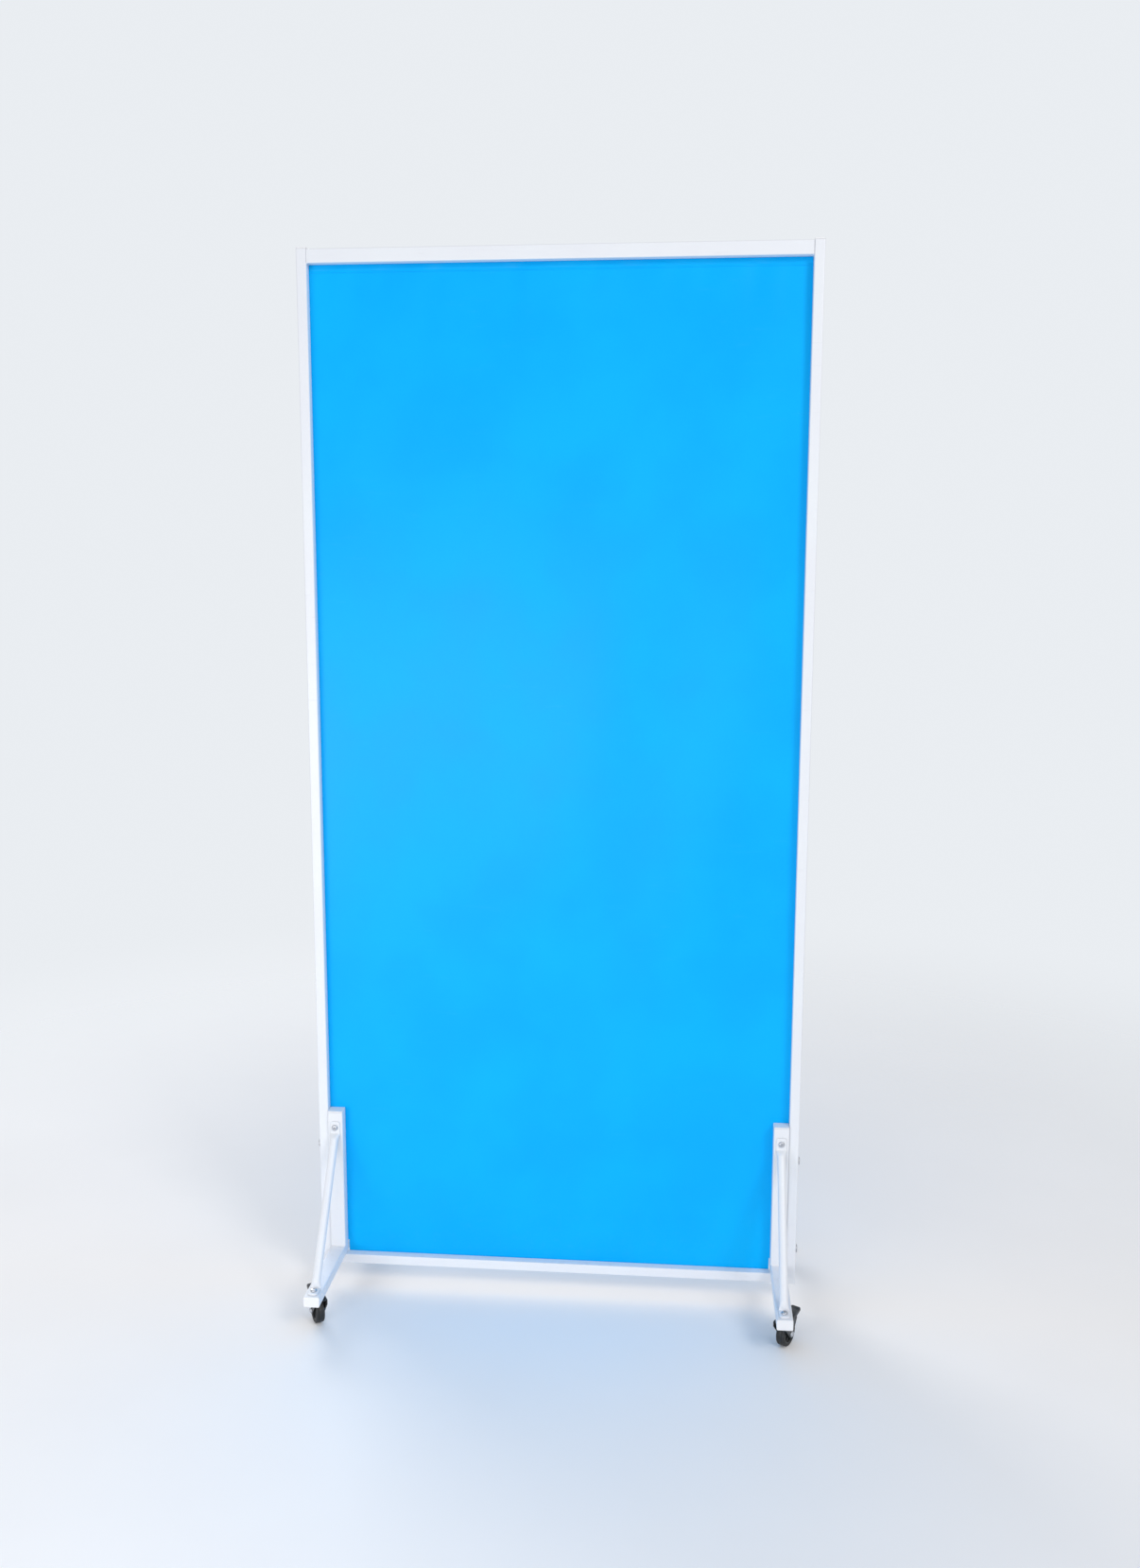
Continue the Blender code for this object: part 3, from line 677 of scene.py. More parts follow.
# %% Model a screw head
def screw(head_radius, head_height, shank_radius, shank_length, recess):
    """A dome-headed screw, its head above the origin."""
    head = start(
        bpy.ops.mesh.primitive_cylinder_add,
        vertices=40,
        radius=head_radius,
        depth=head_height,
        location=(0, 0, head_height / 2),
    )
    edit(head)
    pick("EDGE", lambda edge: all(vert.co.z > head_height * 0.9 for vert in edge.verts))
    bpy.ops.mesh.bevel(offset=head_height * 0.72, segments=6, affect="EDGES")
    pick("FACE", lambda face: face.normal.z < -0.9)
    bpy.ops.mesh.inset(thickness=head_radius - shank_radius)
    move_out((0, 0, -shank_length))
    done()
    if recess == "hexagon":
        tool = start(
            bpy.ops.mesh.primitive_cylinder_add,
            vertices=6,
            radius=head_radius * 0.42,
            depth=head_height * 1.3,
            location=(0, 0, head_height),
        )
        boolean(head, tool)
    else:
        for turn in (0.0, pi / 2):
            tool = start(
                bpy.ops.mesh.primitive_cube_add,
                size=1.0,
                location=(0, 0, head_height),
                rotation=(0, 0, turn),
                scale=(head_radius * 0.95, head_radius * 0.2, head_height * 1.1),
            )
            boolean(head, tool)
    soften(head, head_radius * 0.02, segments=1, angle=50)
    shade(head, 40)
    return head


LEG_BOLT_HEAD = 0.0025
BRACE_SCREW_HEAD = 0.0035
leg_bolt = screw(0.008, LEG_BOLT_HEAD, 0.004, 0.028, "hexagon")
brace_screw = screw(0.006, BRACE_SCREW_HEAD, 0.003, 0.012, "cross")
strip_screw = screw(0.0036, 0.0018, 0.0016, 0.0015, "cross")

# %% Put the screws in
for side, outwards in (("left", -AXIS_X), ("right", AXIS_X)):
    for level in ("upper", "lower"):
        node = f"leg_bolt_{level}_{side}"
        low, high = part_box(node)
        place = (low + high) / 2
        place.x = (high.x if outwards.x > 0 else low.x) - outwards.x * LEG_BOLT_HEAD
        turn = Matrix.Rotation(0.5 if level == "upper" else 1.3, 4, "Z")
        piece = copy_of(leg_bolt, facing(outwards, place) @ turn)
        keep(piece, f"{node}_head", "screen", zinc, "zinc_fastener", node)
    for level, axis, along in (("upper", -AXIS_Y, 1), ("lower", AXIS_Z, 2)):
        node = f"brace_screw_{level}_{side}"
        low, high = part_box(node)
        place = (low + high) / 2
        outer = high[along] if axis[along] > 0 else low[along]
        place[along] = outer - axis[along] * BRACE_SCREW_HEAD
        turn = Matrix.Rotation(0.7 if side == "left" else 0.2, 4, "Z")
        piece = copy_of(brace_screw, facing(axis, place) @ turn)
        keep(piece, f"{node}_head", "screen", zinc, "zinc_fastener", node)

STRIP_SCREW_PITCH = 0.24
for node, along in (
    ("clamp_strip_left", 2),
    ("clamp_strip_right", 2),
    ("clamp_strip_top", 0),
    ("clamp_strip_bottom", 0),
):
    low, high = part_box(node)
    length = high[along] - low[along]
    count = max(2, round(length / STRIP_SCREW_PITCH))
    for number in range(count):
        place = (low + high) / 2
        place[along] = low[along] + length * (number + 0.5) / count
        place.y = high.y
        turn = Matrix.Rotation(0.37 * (number + 1), 4, "Z")
        piece = copy_of(strip_screw, facing(AXIS_Y, place) @ turn)
        keep(piece, f"{node}_screw_{number + 1}", "screen", zinc, "zinc_fastener")
for head in (leg_bolt, brace_screw, strip_screw):
    bpy.data.objects.remove(head, do_unlink=True)

# %% [markdown]
# ## Braces
#
# Each brace is a round tube whose ends are pressed flat and bent, one against the upright and
# one onto the foot. It is modelled straight, along Z: each end face is extruded in steps and
# widened, the outer rings are pressed to a 3 mm tab, and each tab is turned about X at its
# bend. Then the whole brace is leaned into place, with a copy for the other side.

# %% Where a brace runs
SCREW_GAP = 0.0003
BRACE_RADIUS = 0.008
TAB_HALF_WIDTH = 0.010
TAB_HALF_THICKNESS = 0.0015
TAB_REACH = 0.012
BRACE_TAPER = 0.015
BEND_REACH = 0.0015


def middle_of(node):
    low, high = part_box(node)
    return (low + high) / 2


upright_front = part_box("leg_upright_left")[0].y
foot_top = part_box("foot_left")[1].z
lift = SCREW_GAP + TAB_HALF_THICKNESS
upper_tab = Vector((0, upright_front - lift, middle_of("brace_screw_upper_left").z))
lower_tab = Vector((0, middle_of("brace_screw_lower_left").y, foot_top + lift))
upper_bend = upper_tab - AXIS_Z * TAB_REACH
lower_bend = lower_tab + AXIS_Y * TAB_REACH
run = upper_bend - lower_bend
lean = run.angle(AXIS_Z)
half_run = run.length / 2
print("brace", round(run.length, 4), "m between its bends, leaning", round(degrees(lean), 1), "degrees")

# %% Model one brace
brace = start(
    bpy.ops.mesh.primitive_cylinder_add,
    vertices=40,
    radius=BRACE_RADIUS,
    depth=2 * (half_run - BRACE_TAPER),
)
widening = TAB_HALF_WIDTH / BRACE_RADIUS
# Each step along an end: how far it goes on, and how much wider and thinner its ring gets.
END_STEPS = (
    (BRACE_TAPER * 0.35, 1.05, 0.90),
    (BRACE_TAPER * 0.35, 1.10, 0.55),
    (BRACE_TAPER * 0.30 - BEND_REACH, widening / 1.05 / 1.10, 0.45),
    (BEND_REACH, 1.0, 1.0),
    (BEND_REACH, 1.0, 1.0),
    (2 * TAB_REACH - BEND_REACH - 0.006, 1.0, 1.0),
    (0.0035, 0.93, 1.0),
    (0.0018, 0.80, 1.0),
    (0.0007, 0.75, 1.0),
)
edit(brace)
for end in (1, -1):
    pick("FACE", lambda face: face.normal.z * end > 0.9)
    height = end * (half_run - BRACE_TAPER)
    for step, wider, thinner in END_STEPS:
        move_out((0, 0, end * step))
        height += end * step
        bpy.ops.transform.resize(value=(wider, thinner, 1), center_override=(0, 0, height))
    for side in (1, -1):
        pick(
            "VERT",
            lambda vert: vert.co.z * end > half_run - BEND_REACH - 0.0002
            and vert.co.y * side > TAB_HALF_THICKNESS * 0.8,
        )
        face_y = side * TAB_HALF_THICKNESS
        bpy.ops.transform.resize(value=(1, 0, 1), center_override=(0, face_y, 0))
for end, bend in ((1, lean), (-1, lean - pi / 2)):
    centre = (0, 0, end * half_run)
    for beyond in (BEND_REACH * 0.5, -BEND_REACH * 0.5):
        pick("VERT", lambda vert: (vert.co - Vector(centre)).z * end > beyond)
        bpy.ops.transform.rotate(value=-bend / 2, orient_axis="X", center_override=centre)
done()
soften(brace, 0.0004, segments=2, angle=50)
shade(brace, 40)

# %% Lay the braces in place
lean_over = Matrix.Rotation(-lean, 4, "X")
for side in ("left", "right"):
    place = (upper_bend + lower_bend) / 2
    place.x = middle_of(f"brace_{side}").x
    piece = copy_of(brace, Matrix.Translation(place) @ lean_over)
    keep(piece, f"brace_tube_{side}", "screen", frame_paint, "frame_paint", f"brace_{side}")
bpy.data.objects.remove(brace, do_unlink=True)

# %% [markdown]
# ## Weld beads
#
# The uprights are welded onto the feet and the rails into the posts. A bead is a short rod of
# overlapping puddles: a thin cylinder is cut across many times, and every other ring is
# swelled. Two lengths are needed, and their copies lie in the corners between the tubes.


# %% Model and lay the beads
def weld_bead(radius, length, pitch):
    """A rippled rod along X, with rounded ends."""
    bead = start(
        bpy.ops.mesh.primitive_cylinder_add,
        vertices=14,
        radius=radius,
        depth=length - 2 * radius,
        rotation=(0, pi / 2, 0),
    )
    edit(bead)
    for end in (1, -1):
        pick("FACE", lambda face: face.normal.x * end > 0.9)
        tip = end * (length / 2 - radius)
        for forward, smaller in ((0.6, 0.8), (0.3, 0.5), (0.1, 0.4)):
            move_out((end * radius * forward, 0, 0))
            tip += end * radius * forward
            bpy.ops.transform.resize(value=(1, smaller, smaller), center_override=(tip, 0, 0))
    rings = round((length - 2 * radius) / pitch)
    for ring in range(1, rings):
        bpy.ops.mesh.select_all(action="SELECT")
        at = -length / 2 + radius + ring * (length - 2 * radius) / rings
        bpy.ops.mesh.bisect(plane_co=(at, 0, 0), plane_no=(1, 0.12, 0))
        pick("VERT", lambda vert: abs(vert.co.x + 0.12 * vert.co.y - at) < 0.00005)
        swell = 1.0 if ring % 2 else 0.84
        bpy.ops.transform.resize(value=(1, swell, swell), center_override=(at, 0, 0))
    done()
    shade(bead, 70)
    return bead


FOOT_BEAD_RADIUS = 0.0017
RAIL_BEAD_RADIUS = 0.0013
foot_bead = weld_bead(FOOT_BEAD_RADIUS, size_of("foot_left").x - 0.003, 0.0008)
rail_bead = weld_bead(RAIL_BEAD_RADIUS, size_of("top_rail").y - 0.004, 0.0007)
for side in ("left", "right"):
    leg_low, leg_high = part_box(f"leg_upright_{side}")
    centre_x = (leg_low.x + leg_high.x) / 2
    for end, face_y in (("front", leg_low.y), ("rear", leg_high.y)):
        piece = copy_of(foot_bead, Matrix.Translation((centre_x, face_y, foot_top)))
        keep(piece, f"foot_weld_{end}_{side}", "screen", frame_paint, "frame_paint")
    corner = opening_x if side == "right" else -opening_x
    for end, height in (("top", opening_top), ("bottom", opening_bottom)):
        along_y = Matrix.Rotation(pi / 2, 4, "Z")
        piece = copy_of(rail_bead, Matrix.Translation((corner, 0, height)) @ along_y)
        keep(piece, f"rail_weld_{end}_{side}", "screen", frame_paint, "frame_paint")
for bead in (foot_bead, rail_bead):
    bpy.data.objects.remove(bead, do_unlink=True)
print("8 weld beads")

# %% [markdown]
# ## Castors
#
# Four swivel castors carry the screen. Each has a 50 mm wheel with a rubber tyre on a ribbed
# plastic hub, a pressed steel fork that trails behind its swivel, a rivet for an axle and a
# bearing head under the foot. The two front ones have a brake pedal. Everything is modelled
# once, with the swivel axis on Z and the wheel trailing along +X, then copied and turned to
# each castor's heading, which comes from where its wheel's joint lies.

# %% Where the castors stand
CASTORS = ("front_left", "front_right", "rear_left", "rear_right")
stands = {}
for castor in CASTORS:
    swivel = Vector(joints[f"{castor}_swivel"]["pos_m"])
    axle = Vector(joints[f"{castor}_roll"]["pos_m"])
    offset = axle - swivel
    heading = Matrix.Rotation(-AXIS_X.xy.angle_signed(offset.xy), 4, "Z")
    stands[castor] = Matrix.Translation((swivel.x, swivel.y, 0)) @ heading
trail = offset.xy.length
wheel_radius = axle.z
print("trail", round(trail, 4), "wheel radius", wheel_radius)

# %% Model the tyre
TREAD_WIDTH = 0.017
TYRE_INNER = 0.0192
TREAD_SHOULDER = 0.003
GROOVE_PLACES = (-0.0035, 0.0035)
GROOVE_DEPTH = 0.0006
GROOVE_HALF_WIDTH = 0.0006
AXLE_PLACE = Vector((trail, 0, wheel_radius))

tyre = start(
    bpy.ops.mesh.primitive_cylinder_add,
    vertices=72,
    radius=wheel_radius,
    depth=TREAD_WIDTH,
    location=AXLE_PLACE,
    rotation=(pi / 2, 0, 0),
)
edit(tyre)
pick("FACE", lambda face: abs(face.normal.y) > 0.9)
bpy.ops.mesh.inset(thickness=wheel_radius - TYRE_INNER)
bpy.ops.mesh.bridge_edge_loops()


def on_tread_edge(edge):
    """An edge that runs round the tyre where the tread meets its side."""
    ends = [vert.co - AXLE_PLACE for vert in edge.verts]
    same_side = abs(ends[0].y - ends[1].y) < NEAR
    return same_side and all(end.xz.length > wheel_radius - 0.0005 for end in ends)


pick("EDGE", on_tread_edge)
bpy.ops.mesh.bevel(offset=TREAD_SHOULDER, segments=5, affect="EDGES")


def on_groove_line(vert):
    """A corner on the middle line of the groove, on the tread."""
    on_line = abs(vert.co.y - groove) < NEAR / 2
    return on_line and (vert.co - AXLE_PLACE).xz.length > wheel_radius - 0.001


for groove in GROOVE_PLACES:
    for line in (-GROOVE_HALF_WIDTH, 0.0, GROOVE_HALF_WIDTH):
        bpy.ops.mesh.select_all(action="SELECT")
        bpy.ops.mesh.bisect(plane_co=(0, groove + line, 0), plane_no=AXIS_Y)
    pick("VERT", on_groove_line)
    shrink = 1.0 - GROOVE_DEPTH / wheel_radius
    bpy.ops.transform.resize(value=(shrink, 1, shrink), center_override=AXLE_PLACE)
bpy.ops.mesh.select_all(action="SELECT")
bpy.ops.mesh.normals_make_consistent(inside=False)
done()
shade(tyre, 35)
print("tyre faces", len(tyre.data.polygons))

# %% Model the hub
HUB_RADIUS = 0.0075
HUB_WIDTH = 0.020
RIM_RADIUS = TYRE_INNER - 0.0001
WEB_WIDTH = 0.008
RIM_WIDTH = 0.0160
RIM_THICKNESS = 0.0022
RIBS = 6

hub = start(
    bpy.ops.mesh.primitive_cylinder_add,
    vertices=64,
    radius=RIM_RADIUS,
    depth=RIM_WIDTH,
    location=AXLE_PLACE,
    rotation=(pi / 2, 0, 0),
)
edit(hub)
for side in (1, -1):
    pick("FACE", lambda face: face.normal.y * side > 0.9)
    bpy.ops.mesh.inset(thickness=RIM_THICKNESS)
    move_out((0, side * (WEB_WIDTH - RIM_WIDTH) / 2, 0))
    bpy.ops.mesh.inset(thickness=RIM_RADIUS - RIM_THICKNESS - HUB_RADIUS)
    move_out((0, side * (HUB_WIDTH - WEB_WIDTH) / 2, 0))
done()
rib_inner = HUB_RADIUS - 0.0012
rib_outer = TYRE_INNER - RIM_THICKNESS + 0.0006
for number in range(RIBS):
    rib = start(
        bpy.ops.mesh.primitive_cube_add,
        size=1.0,
        location=((rib_inner + rib_outer) / 2, 0, 0),
        scale=(rib_outer - rib_inner, RIM_WIDTH - 0.0024, 0.0014),
    )
    turn = Matrix.Rotation(tau * number / RIBS, 4, "Y")
    rib.data.transform(Matrix.Translation(AXLE_PLACE) @ turn)
    boolean(hub, rib, "UNION")
soften(hub, 0.0003, segments=2, angle=50)
shade(hub, 35)
print("hub faces", len(hub.data.polygons))

# %% [markdown]
# The fork is a sheet-metal pressing. Its outline is the hull of the crown, of the eye round the
# axle and, on the braked castors, of an ear for the pedal's pin. In edit mode the parts are
# added to one mesh, and `convex_hull` wraps them. A box then cuts the space for the wheel, and
# a bevel rounds the folds and the edges.

# %% Model the forks
FORK_OUTER = 0.0127
FORK_INNER = 0.0107
EYE_RADIUS = 0.0075
CROWN_LEADING = -0.014
CROWN_TRAILING = 0.0215
CROWN_TOP = 2 * wheel_radius + 0.005
CROWN_UNDERSIDE = CROWN_TOP - 0.002
CROWN_DROP = 0.010
FOLD_RADIUS = 0.0015
COLLAR_RADIUS = 0.011
COLLAR_TOP = CROWN_TOP + 0.0045
PEDAL_PIVOT = Vector((trail + 0.017, 0, CROWN_UNDERSIDE - 0.004))
PEDAL_EAR = 0.0045


def box_between(low, high):
    low, high = Vector(low), Vector(high)
    return start(bpy.ops.mesh.primitive_cube_add, size=1.0, location=(low + high) / 2, scale=high - low)


def rod_across(radius, length, place, vertices=32):
    """A cylinder along Y."""
    return start(
        bpy.ops.mesh.primitive_cylinder_add,
        vertices=vertices,
        radius=radius,
        depth=length,
        location=place,
        rotation=(pi / 2, 0, 0),
    )


def model_fork(braked):
    parts = [
        box_between(
            (CROWN_LEADING, -FORK_OUTER, CROWN_TOP - 0.001),
            (CROWN_TRAILING, FORK_OUTER, CROWN_TOP),
        ),
        box_between(
            (CROWN_LEADING, -FORK_OUTER, CROWN_TOP - CROWN_DROP),
            (CROWN_LEADING + 0.001, FORK_OUTER, CROWN_TOP - 0.001),
        ),
        rod_across(EYE_RADIUS, 2 * FORK_OUTER, AXLE_PLACE),
    ]
    if braked:
        parts.append(rod_across(PEDAL_EAR, 2 * FORK_OUTER, PEDAL_PIVOT))
    for part in parts:
        part.select_set(True)
    bpy.context.view_layer.objects.active = parts[0]
    bpy.ops.object.join()
    fork = bpy.context.object
    edit(fork)
    bpy.ops.mesh.select_all(action="SELECT")
    bpy.ops.mesh.convex_hull(join_triangles=True)
    bpy.ops.mesh.select_all(action="SELECT")
    bpy.ops.mesh.dissolve_limited(angle_limit=radians(0.5))

    def on_fold(edge):
        on_top = all(vert.co.z > CROWN_TOP - NEAR for vert in edge.verts)
        return on_top and all(abs(vert.co.y) > FORK_OUTER - NEAR for vert in edge.verts)

    pick("EDGE", on_fold)
    bpy.ops.mesh.bevel(offset=FOLD_RADIUS, segments=5, affect="EDGES")
    done()
    gap = box_between((-0.1, -FORK_INNER, -0.1), (0.1, FORK_INNER, CROWN_UNDERSIDE))
    edit(gap)
    pick("EDGE", lambda edge: all(vert.co.z > CROWN_UNDERSIDE - NEAR for vert in edge.verts))
    bpy.ops.mesh.bevel(offset=0.0009, segments=3, affect="EDGES")
    done()
    boolean(fork, gap)
    if braked:
        boolean(fork, box_between((CROWN_TRAILING, -FORK_INNER, 0), (0.1, FORK_INNER, 0.1)))
    return fork


def add_collar(fork):
    """The pressed bearing cup on the crown, with a step and a rounded lip."""
    cup = start(
        bpy.ops.mesh.primitive_cylinder_add,
        vertices=48,
        radius=COLLAR_RADIUS + 0.001,
        depth=0.0025,
        location=(0, 0, CROWN_TOP),
    )
    edit(cup)
    pick("FACE", lambda face: face.normal.z > 0.9)
    bpy.ops.mesh.inset(thickness=0.001)
    move_out((0, 0, COLLAR_TOP - CROWN_TOP - 0.00125))
    pick("EDGE", lambda edge: all(vert.co.z > COLLAR_TOP - NEAR for vert in edge.verts))
    bpy.ops.mesh.bevel(offset=0.0012, segments=4, affect="EDGES")
    done()
    boolean(fork, cup, "UNION")
    soften(fork, 0.00025, segments=2, angle=45)
    shade(fork, 35)
    return fork


plain_fork = add_collar(model_fork(False))
braked_fork = add_collar(model_fork(True))
for fork in (plain_fork, braked_fork):
    print("fork size", [round(value, 4) for value in fork.dimensions], "faces", len(fork.data.polygons))

# %% Model the axle rivet and the bearing head
AXLE_RADIUS = 0.003
AXLE_HEAD_RADIUS = 0.0055
AXLE_HEAD_HEIGHT = 0.0025
rivet = rod_across(AXLE_RADIUS, 2 * (FORK_OUTER + SCREW_GAP), AXLE_PLACE)
edit(rivet)
for side in (1, -1):
    pick("FACE", lambda face: face.normal.y * side > 0.9 and middle(face).y * side > 0)
    neck = AXLE_PLACE + AXIS_Y * side * (FORK_OUTER + SCREW_GAP)
    wider = AXLE_HEAD_RADIUS / AXLE_RADIUS
    move_out((0, 0, 0))
    bpy.ops.transform.resize(value=(wider, 1, wider), center_override=neck)
    for forward, smaller in ((0.45, 1.0), (0.3, 0.9), (0.17, 0.8), (0.08, 0.6)):
        move_out((0, side * AXLE_HEAD_HEIGHT * forward, 0))
        bpy.ops.transform.resize(value=(smaller, 1, smaller), center_override=neck)
done()
shade(rivet, 50)

FLANGE_RADIUS = 0.012
FLANGE_ROUNDING = 0.0007
STEM_RADIUS = 0.005
stem_low, stem_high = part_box("castor_stem_front_left")
foot_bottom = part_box("foot_left")[0].z
bearing = start(
    bpy.ops.mesh.primitive_cylinder_add,
    vertices=48,
    radius=FLANGE_RADIUS,
    depth=foot_bottom - SCREW_GAP - COLLAR_TOP - SCREW_GAP,
    location=(0, 0, (foot_bottom + COLLAR_TOP) / 2),
)
edit(bearing)
pick("EDGE", lambda edge: abs(edge.verts[0].co.z - edge.verts[1].co.z) < NEAR)
bpy.ops.mesh.bevel(offset=FLANGE_ROUNDING, segments=3, affect="EDGES")
pick("FACE", lambda face: face.normal.z > 0.99)
bpy.ops.mesh.inset(thickness=FLANGE_RADIUS - FLANGE_ROUNDING - STEM_RADIUS)
move_out((0, 0, stem_high.z - foot_bottom))
pick("FACE", lambda face: face.normal.z < -0.99)
bpy.ops.mesh.inset(thickness=FLANGE_RADIUS - FLANGE_ROUNDING - STEM_RADIUS)
move_out((0, 0, stem_low.z - COLLAR_TOP))
done()
shade(bearing, 40)
print("bearing head", [round(value, 4) for value in (stem_low.z, stem_high.z)])

# %% [markdown]
# The brake pedal is a moulded lever on a pin between the fork's ears. It rises a little away
# from the wheel, so that a foot can press its rounded tip, and low ribs give the foot a grip.

# %% Model the pedal
PEDAL_HALF_WIDTH = 0.0102
PEDAL_HUB_RADIUS = 0.0035
PEDAL_LENGTH = 0.028
PEDAL_THICKNESS = 0.003
PEDAL_RISE = radians(12)
PIN_RADIUS = 0.002

pedal = rod_across(PEDAL_HUB_RADIUS, 2 * PEDAL_HALF_WIDTH, (0, 0, 0))
tip = box_between(
    (PEDAL_LENGTH - 0.001, -PEDAL_HALF_WIDTH, -PEDAL_THICKNESS / 2),
    (PEDAL_LENGTH, PEDAL_HALF_WIDTH, PEDAL_THICKNESS / 2),
)
pedal.select_set(True)
tip.select_set(True)
bpy.context.view_layer.objects.active = pedal
bpy.ops.object.join()
edit(pedal)
bpy.ops.mesh.select_all(action="SELECT")
bpy.ops.mesh.convex_hull(join_triangles=True)
bpy.ops.mesh.select_all(action="SELECT")
bpy.ops.mesh.dissolve_limited(angle_limit=radians(0.5))
pick(
    "EDGE",
    lambda edge: all(vert.co.x > PEDAL_LENGTH - NEAR for vert in edge.verts)
    and abs(edge.verts[0].co.y - edge.verts[1].co.y) < NEAR,
)
bpy.ops.mesh.bevel(offset=0.0045, segments=6, affect="EDGES")
done()
for rib_x in (0.0150, 0.0185, 0.0220):
    rib = box_between((rib_x, -0.0066, 0.0), (rib_x + 0.0012, 0.0066, 0.0024))
    boolean(pedal, rib, "UNION")
soften(pedal, 0.0005, segments=3, angle=40)
boolean(pedal, rod_across(PIN_RADIUS, 2 * FORK_OUTER + 0.0008, (0, 0, 0), 24), "UNION")
shade(pedal, 35)
pedal.data.transform(Matrix.Translation(PEDAL_PIVOT) @ Matrix.Rotation(-PEDAL_RISE, 4, "Y"))
print("pedal faces", len(pedal.data.polygons))

# %% Put the castors in their places
for castor, stand in stands.items():
    braked = castor.startswith("front")
    fork = braked_fork if braked else plain_fork
    wheel_body = f"wheel_{castor}"
    fork_body = f"castor_{castor}"
    sets = [
        (tyre, "tyre", wheel_body, tyre_rubber, "wheel_rubber", []),
        (hub, "hub", wheel_body, hub_plastic, "wheel_rubber", ["castor_wheel"]),
        (fork, "fork", fork_body, castor_paint, "castor_paint", ["castor_fork"]),
        (rivet, "rivet", fork_body, zinc, "zinc_fastener", ["castor_axle"]),
        (bearing, "bearing_head", "screen", zinc, "zinc_fastener", ["castor_stem"]),
    ]
    if braked:
        sets.append((pedal, "pedal", f"brake_{castor}", castor_paint, "castor_paint", ["brake_pedal"]))
    for model, kind, body, material, slot, replaced in sets:
        stood_for = [f"{node}_{castor}" for node in replaced]
        keep(copy_of(model, stand), f"{kind}_{castor}", body, material, slot, *stood_for)
for model in (tyre, hub, plain_fork, braked_fork, rivet, bearing, pedal):
    bpy.data.objects.remove(model, do_unlink=True)
print("castors:", list(stands))

# %% [markdown]
# ## Floor, light and camera
#
# The screen stands on a plain pale floor that fades into the pale surroundings, so that no
# edge or horizon shows. A broad key light from the front right models the white tubes and
# throws the soft shadow of each brace onto its upright. A lower one puts a faint sheen on the
# middle of the curtain, a small one lifts the left side, one behind lights the back, and the
# surroundings fill the rest.

# %% Lay the floor
FLOOR_RADIUS = 6.0
floor = start(bpy.ops.mesh.primitive_circle_add, vertices=128, radius=FLOOR_RADIUS, fill_type="NGON")
floor.name = "floor"
floor_finish = bpy.data.materials.new("pale_floor")
floor_finish.use_nodes = True
tree = floor_finish.node_tree
shader = tree.nodes["Principled BSDF"]
coords = tree.nodes.new("ShaderNodeTexCoord").outputs["Object"]
distance = add_node(tree, "ShaderNodeVectorMath", {"operation": "LENGTH"})
tree.links.new(coords, distance.inputs[0])
tree.links.new(spread(tree, distance.outputs["Value"], 0.7, 3.2, 1.0, 0.0), shader.inputs["Alpha"])
mottle = add_node(tree, "ShaderNodeTexNoise", Vector=coords, Scale=2.0, Detail=4.0)
tone = spread(tree, mottle.outputs["Fac"], 0.3, 0.7)
floor_colour = blend_colours(tree, tone, (0.90, 0.90, 0.91, 1), (0.92, 0.92, 0.93, 1))
tree.links.new(floor_colour, shader.inputs["Base Color"])
shader.inputs["Roughness"].default_value = 0.7
shader.inputs["Specular IOR Level"].default_value = 0.2
floor.data.materials.append(floor_finish)

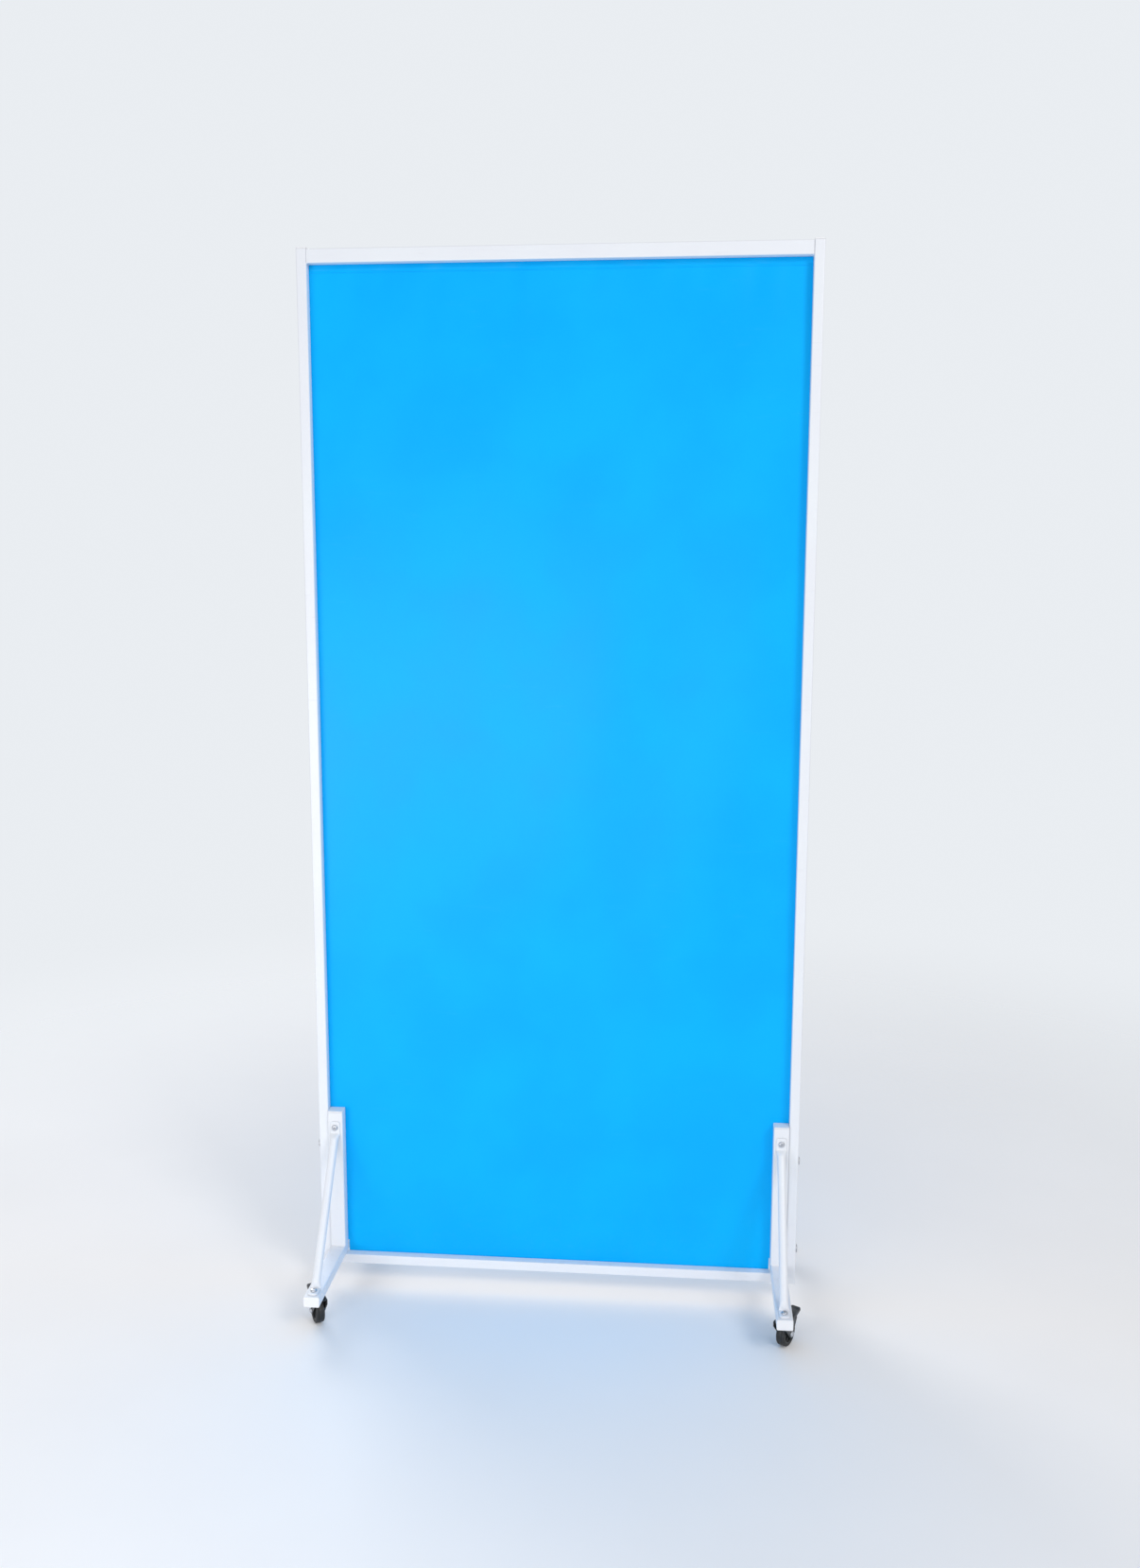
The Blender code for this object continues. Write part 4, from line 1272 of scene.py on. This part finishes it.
# %% Light it
scene = bpy.context.scene
scene.view_settings.view_transform = "Standard"
world = bpy.data.worlds.new("pale_surroundings")
scene.world = world
world.use_nodes = True
tree = world.node_tree
lighting = tree.nodes["Background"]
lighting.inputs["Color"].default_value = (0.86, 0.88, 0.92, 1.0)
lighting.inputs["Strength"].default_value = 0.62
seen = add_node(tree, "ShaderNodeBackground", Color=(0.82, 0.85, 0.885, 1.0), Strength=1.0)
camera_ray = tree.nodes.new("ShaderNodeLightPath").outputs["Is Camera Ray"]
mixed = tree.nodes.new("ShaderNodeMixShader")
tree.links.new(camera_ray, mixed.inputs[0])
tree.links.new(lighting.outputs[0], mixed.inputs[1])
tree.links.new(seen.outputs[0], mixed.inputs[2])
tree.links.new(mixed.outputs[0], tree.nodes["World Output"].inputs["Surface"])


def soft_light(name, place, target, size, power, colour):
    """A square area light that faces a target."""
    light = bpy.data.lights.new(name, "AREA")
    light.size = size
    light.energy = power
    light.color = colour
    lamp = bpy.data.objects.new(name, light)
    towards = (Vector(target) - Vector(place)).to_track_quat("-Z", "Y")
    lamp.matrix_world = Matrix.Translation(place) @ towards.to_matrix().to_4x4()
    scene.collection.objects.link(lamp)
    return lamp


soft_light("key_light", (2.6, -3.2, 3.4), (0, 0, 1.0), 1.4, 68.0, (1.0, 0.98, 0.95))
soft_light("sheen_light", (-0.47, -3.2, 0.9), (0, 0, 1.1), 1.2, 16.0, (1.0, 1.0, 1.0))
soft_light("side_light", (-1.5, -2.4, 0.7), (-0.2, 0, 0.8), 1.0, 15.0, (1.0, 1.0, 1.0))
soft_light("back_light", (-2.5, 3.2, 2.6), (0, 0, 1.0), 2.0, 70.0, (0.97, 0.98, 1.0))

# %% Place the camera
# The lens's sensor width spans the longer side of the render.
CAMERA_PLACE = Vector((0.2446, -2.5322, 1.4257))
CAMERA_TURN = radians(4.93)
CAMERA_PITCH = radians(90 - 8.755)
CAMERA_ROLL = radians(0.14)
FOCAL_LENGTH = 31.11
SENSOR_WIDTH = 36.0
camera = bpy.data.cameras.new("camera")
camera.sensor_fit = "AUTO"
camera.sensor_width = SENSOR_WIDTH
camera.lens = FOCAL_LENGTH
camera_object = bpy.data.objects.new("camera", camera)
turned = Matrix.Rotation(CAMERA_TURN, 4, "Z") @ Matrix.Rotation(CAMERA_PITCH, 4, "X")
turned = turned @ Matrix.Rotation(CAMERA_ROLL, 4, "Z")
camera_object.matrix_world = Matrix.Translation(CAMERA_PLACE) @ turned
scene.collection.objects.link(camera_object)
scene.camera = camera_object

# %% [markdown]
# ## Last step
#
# The visual pieces must keep the size of the imported solids. At the end nothing is left selected.

# %% Clear the selection
bpy.ops.object.select_all(action="DESELECT")
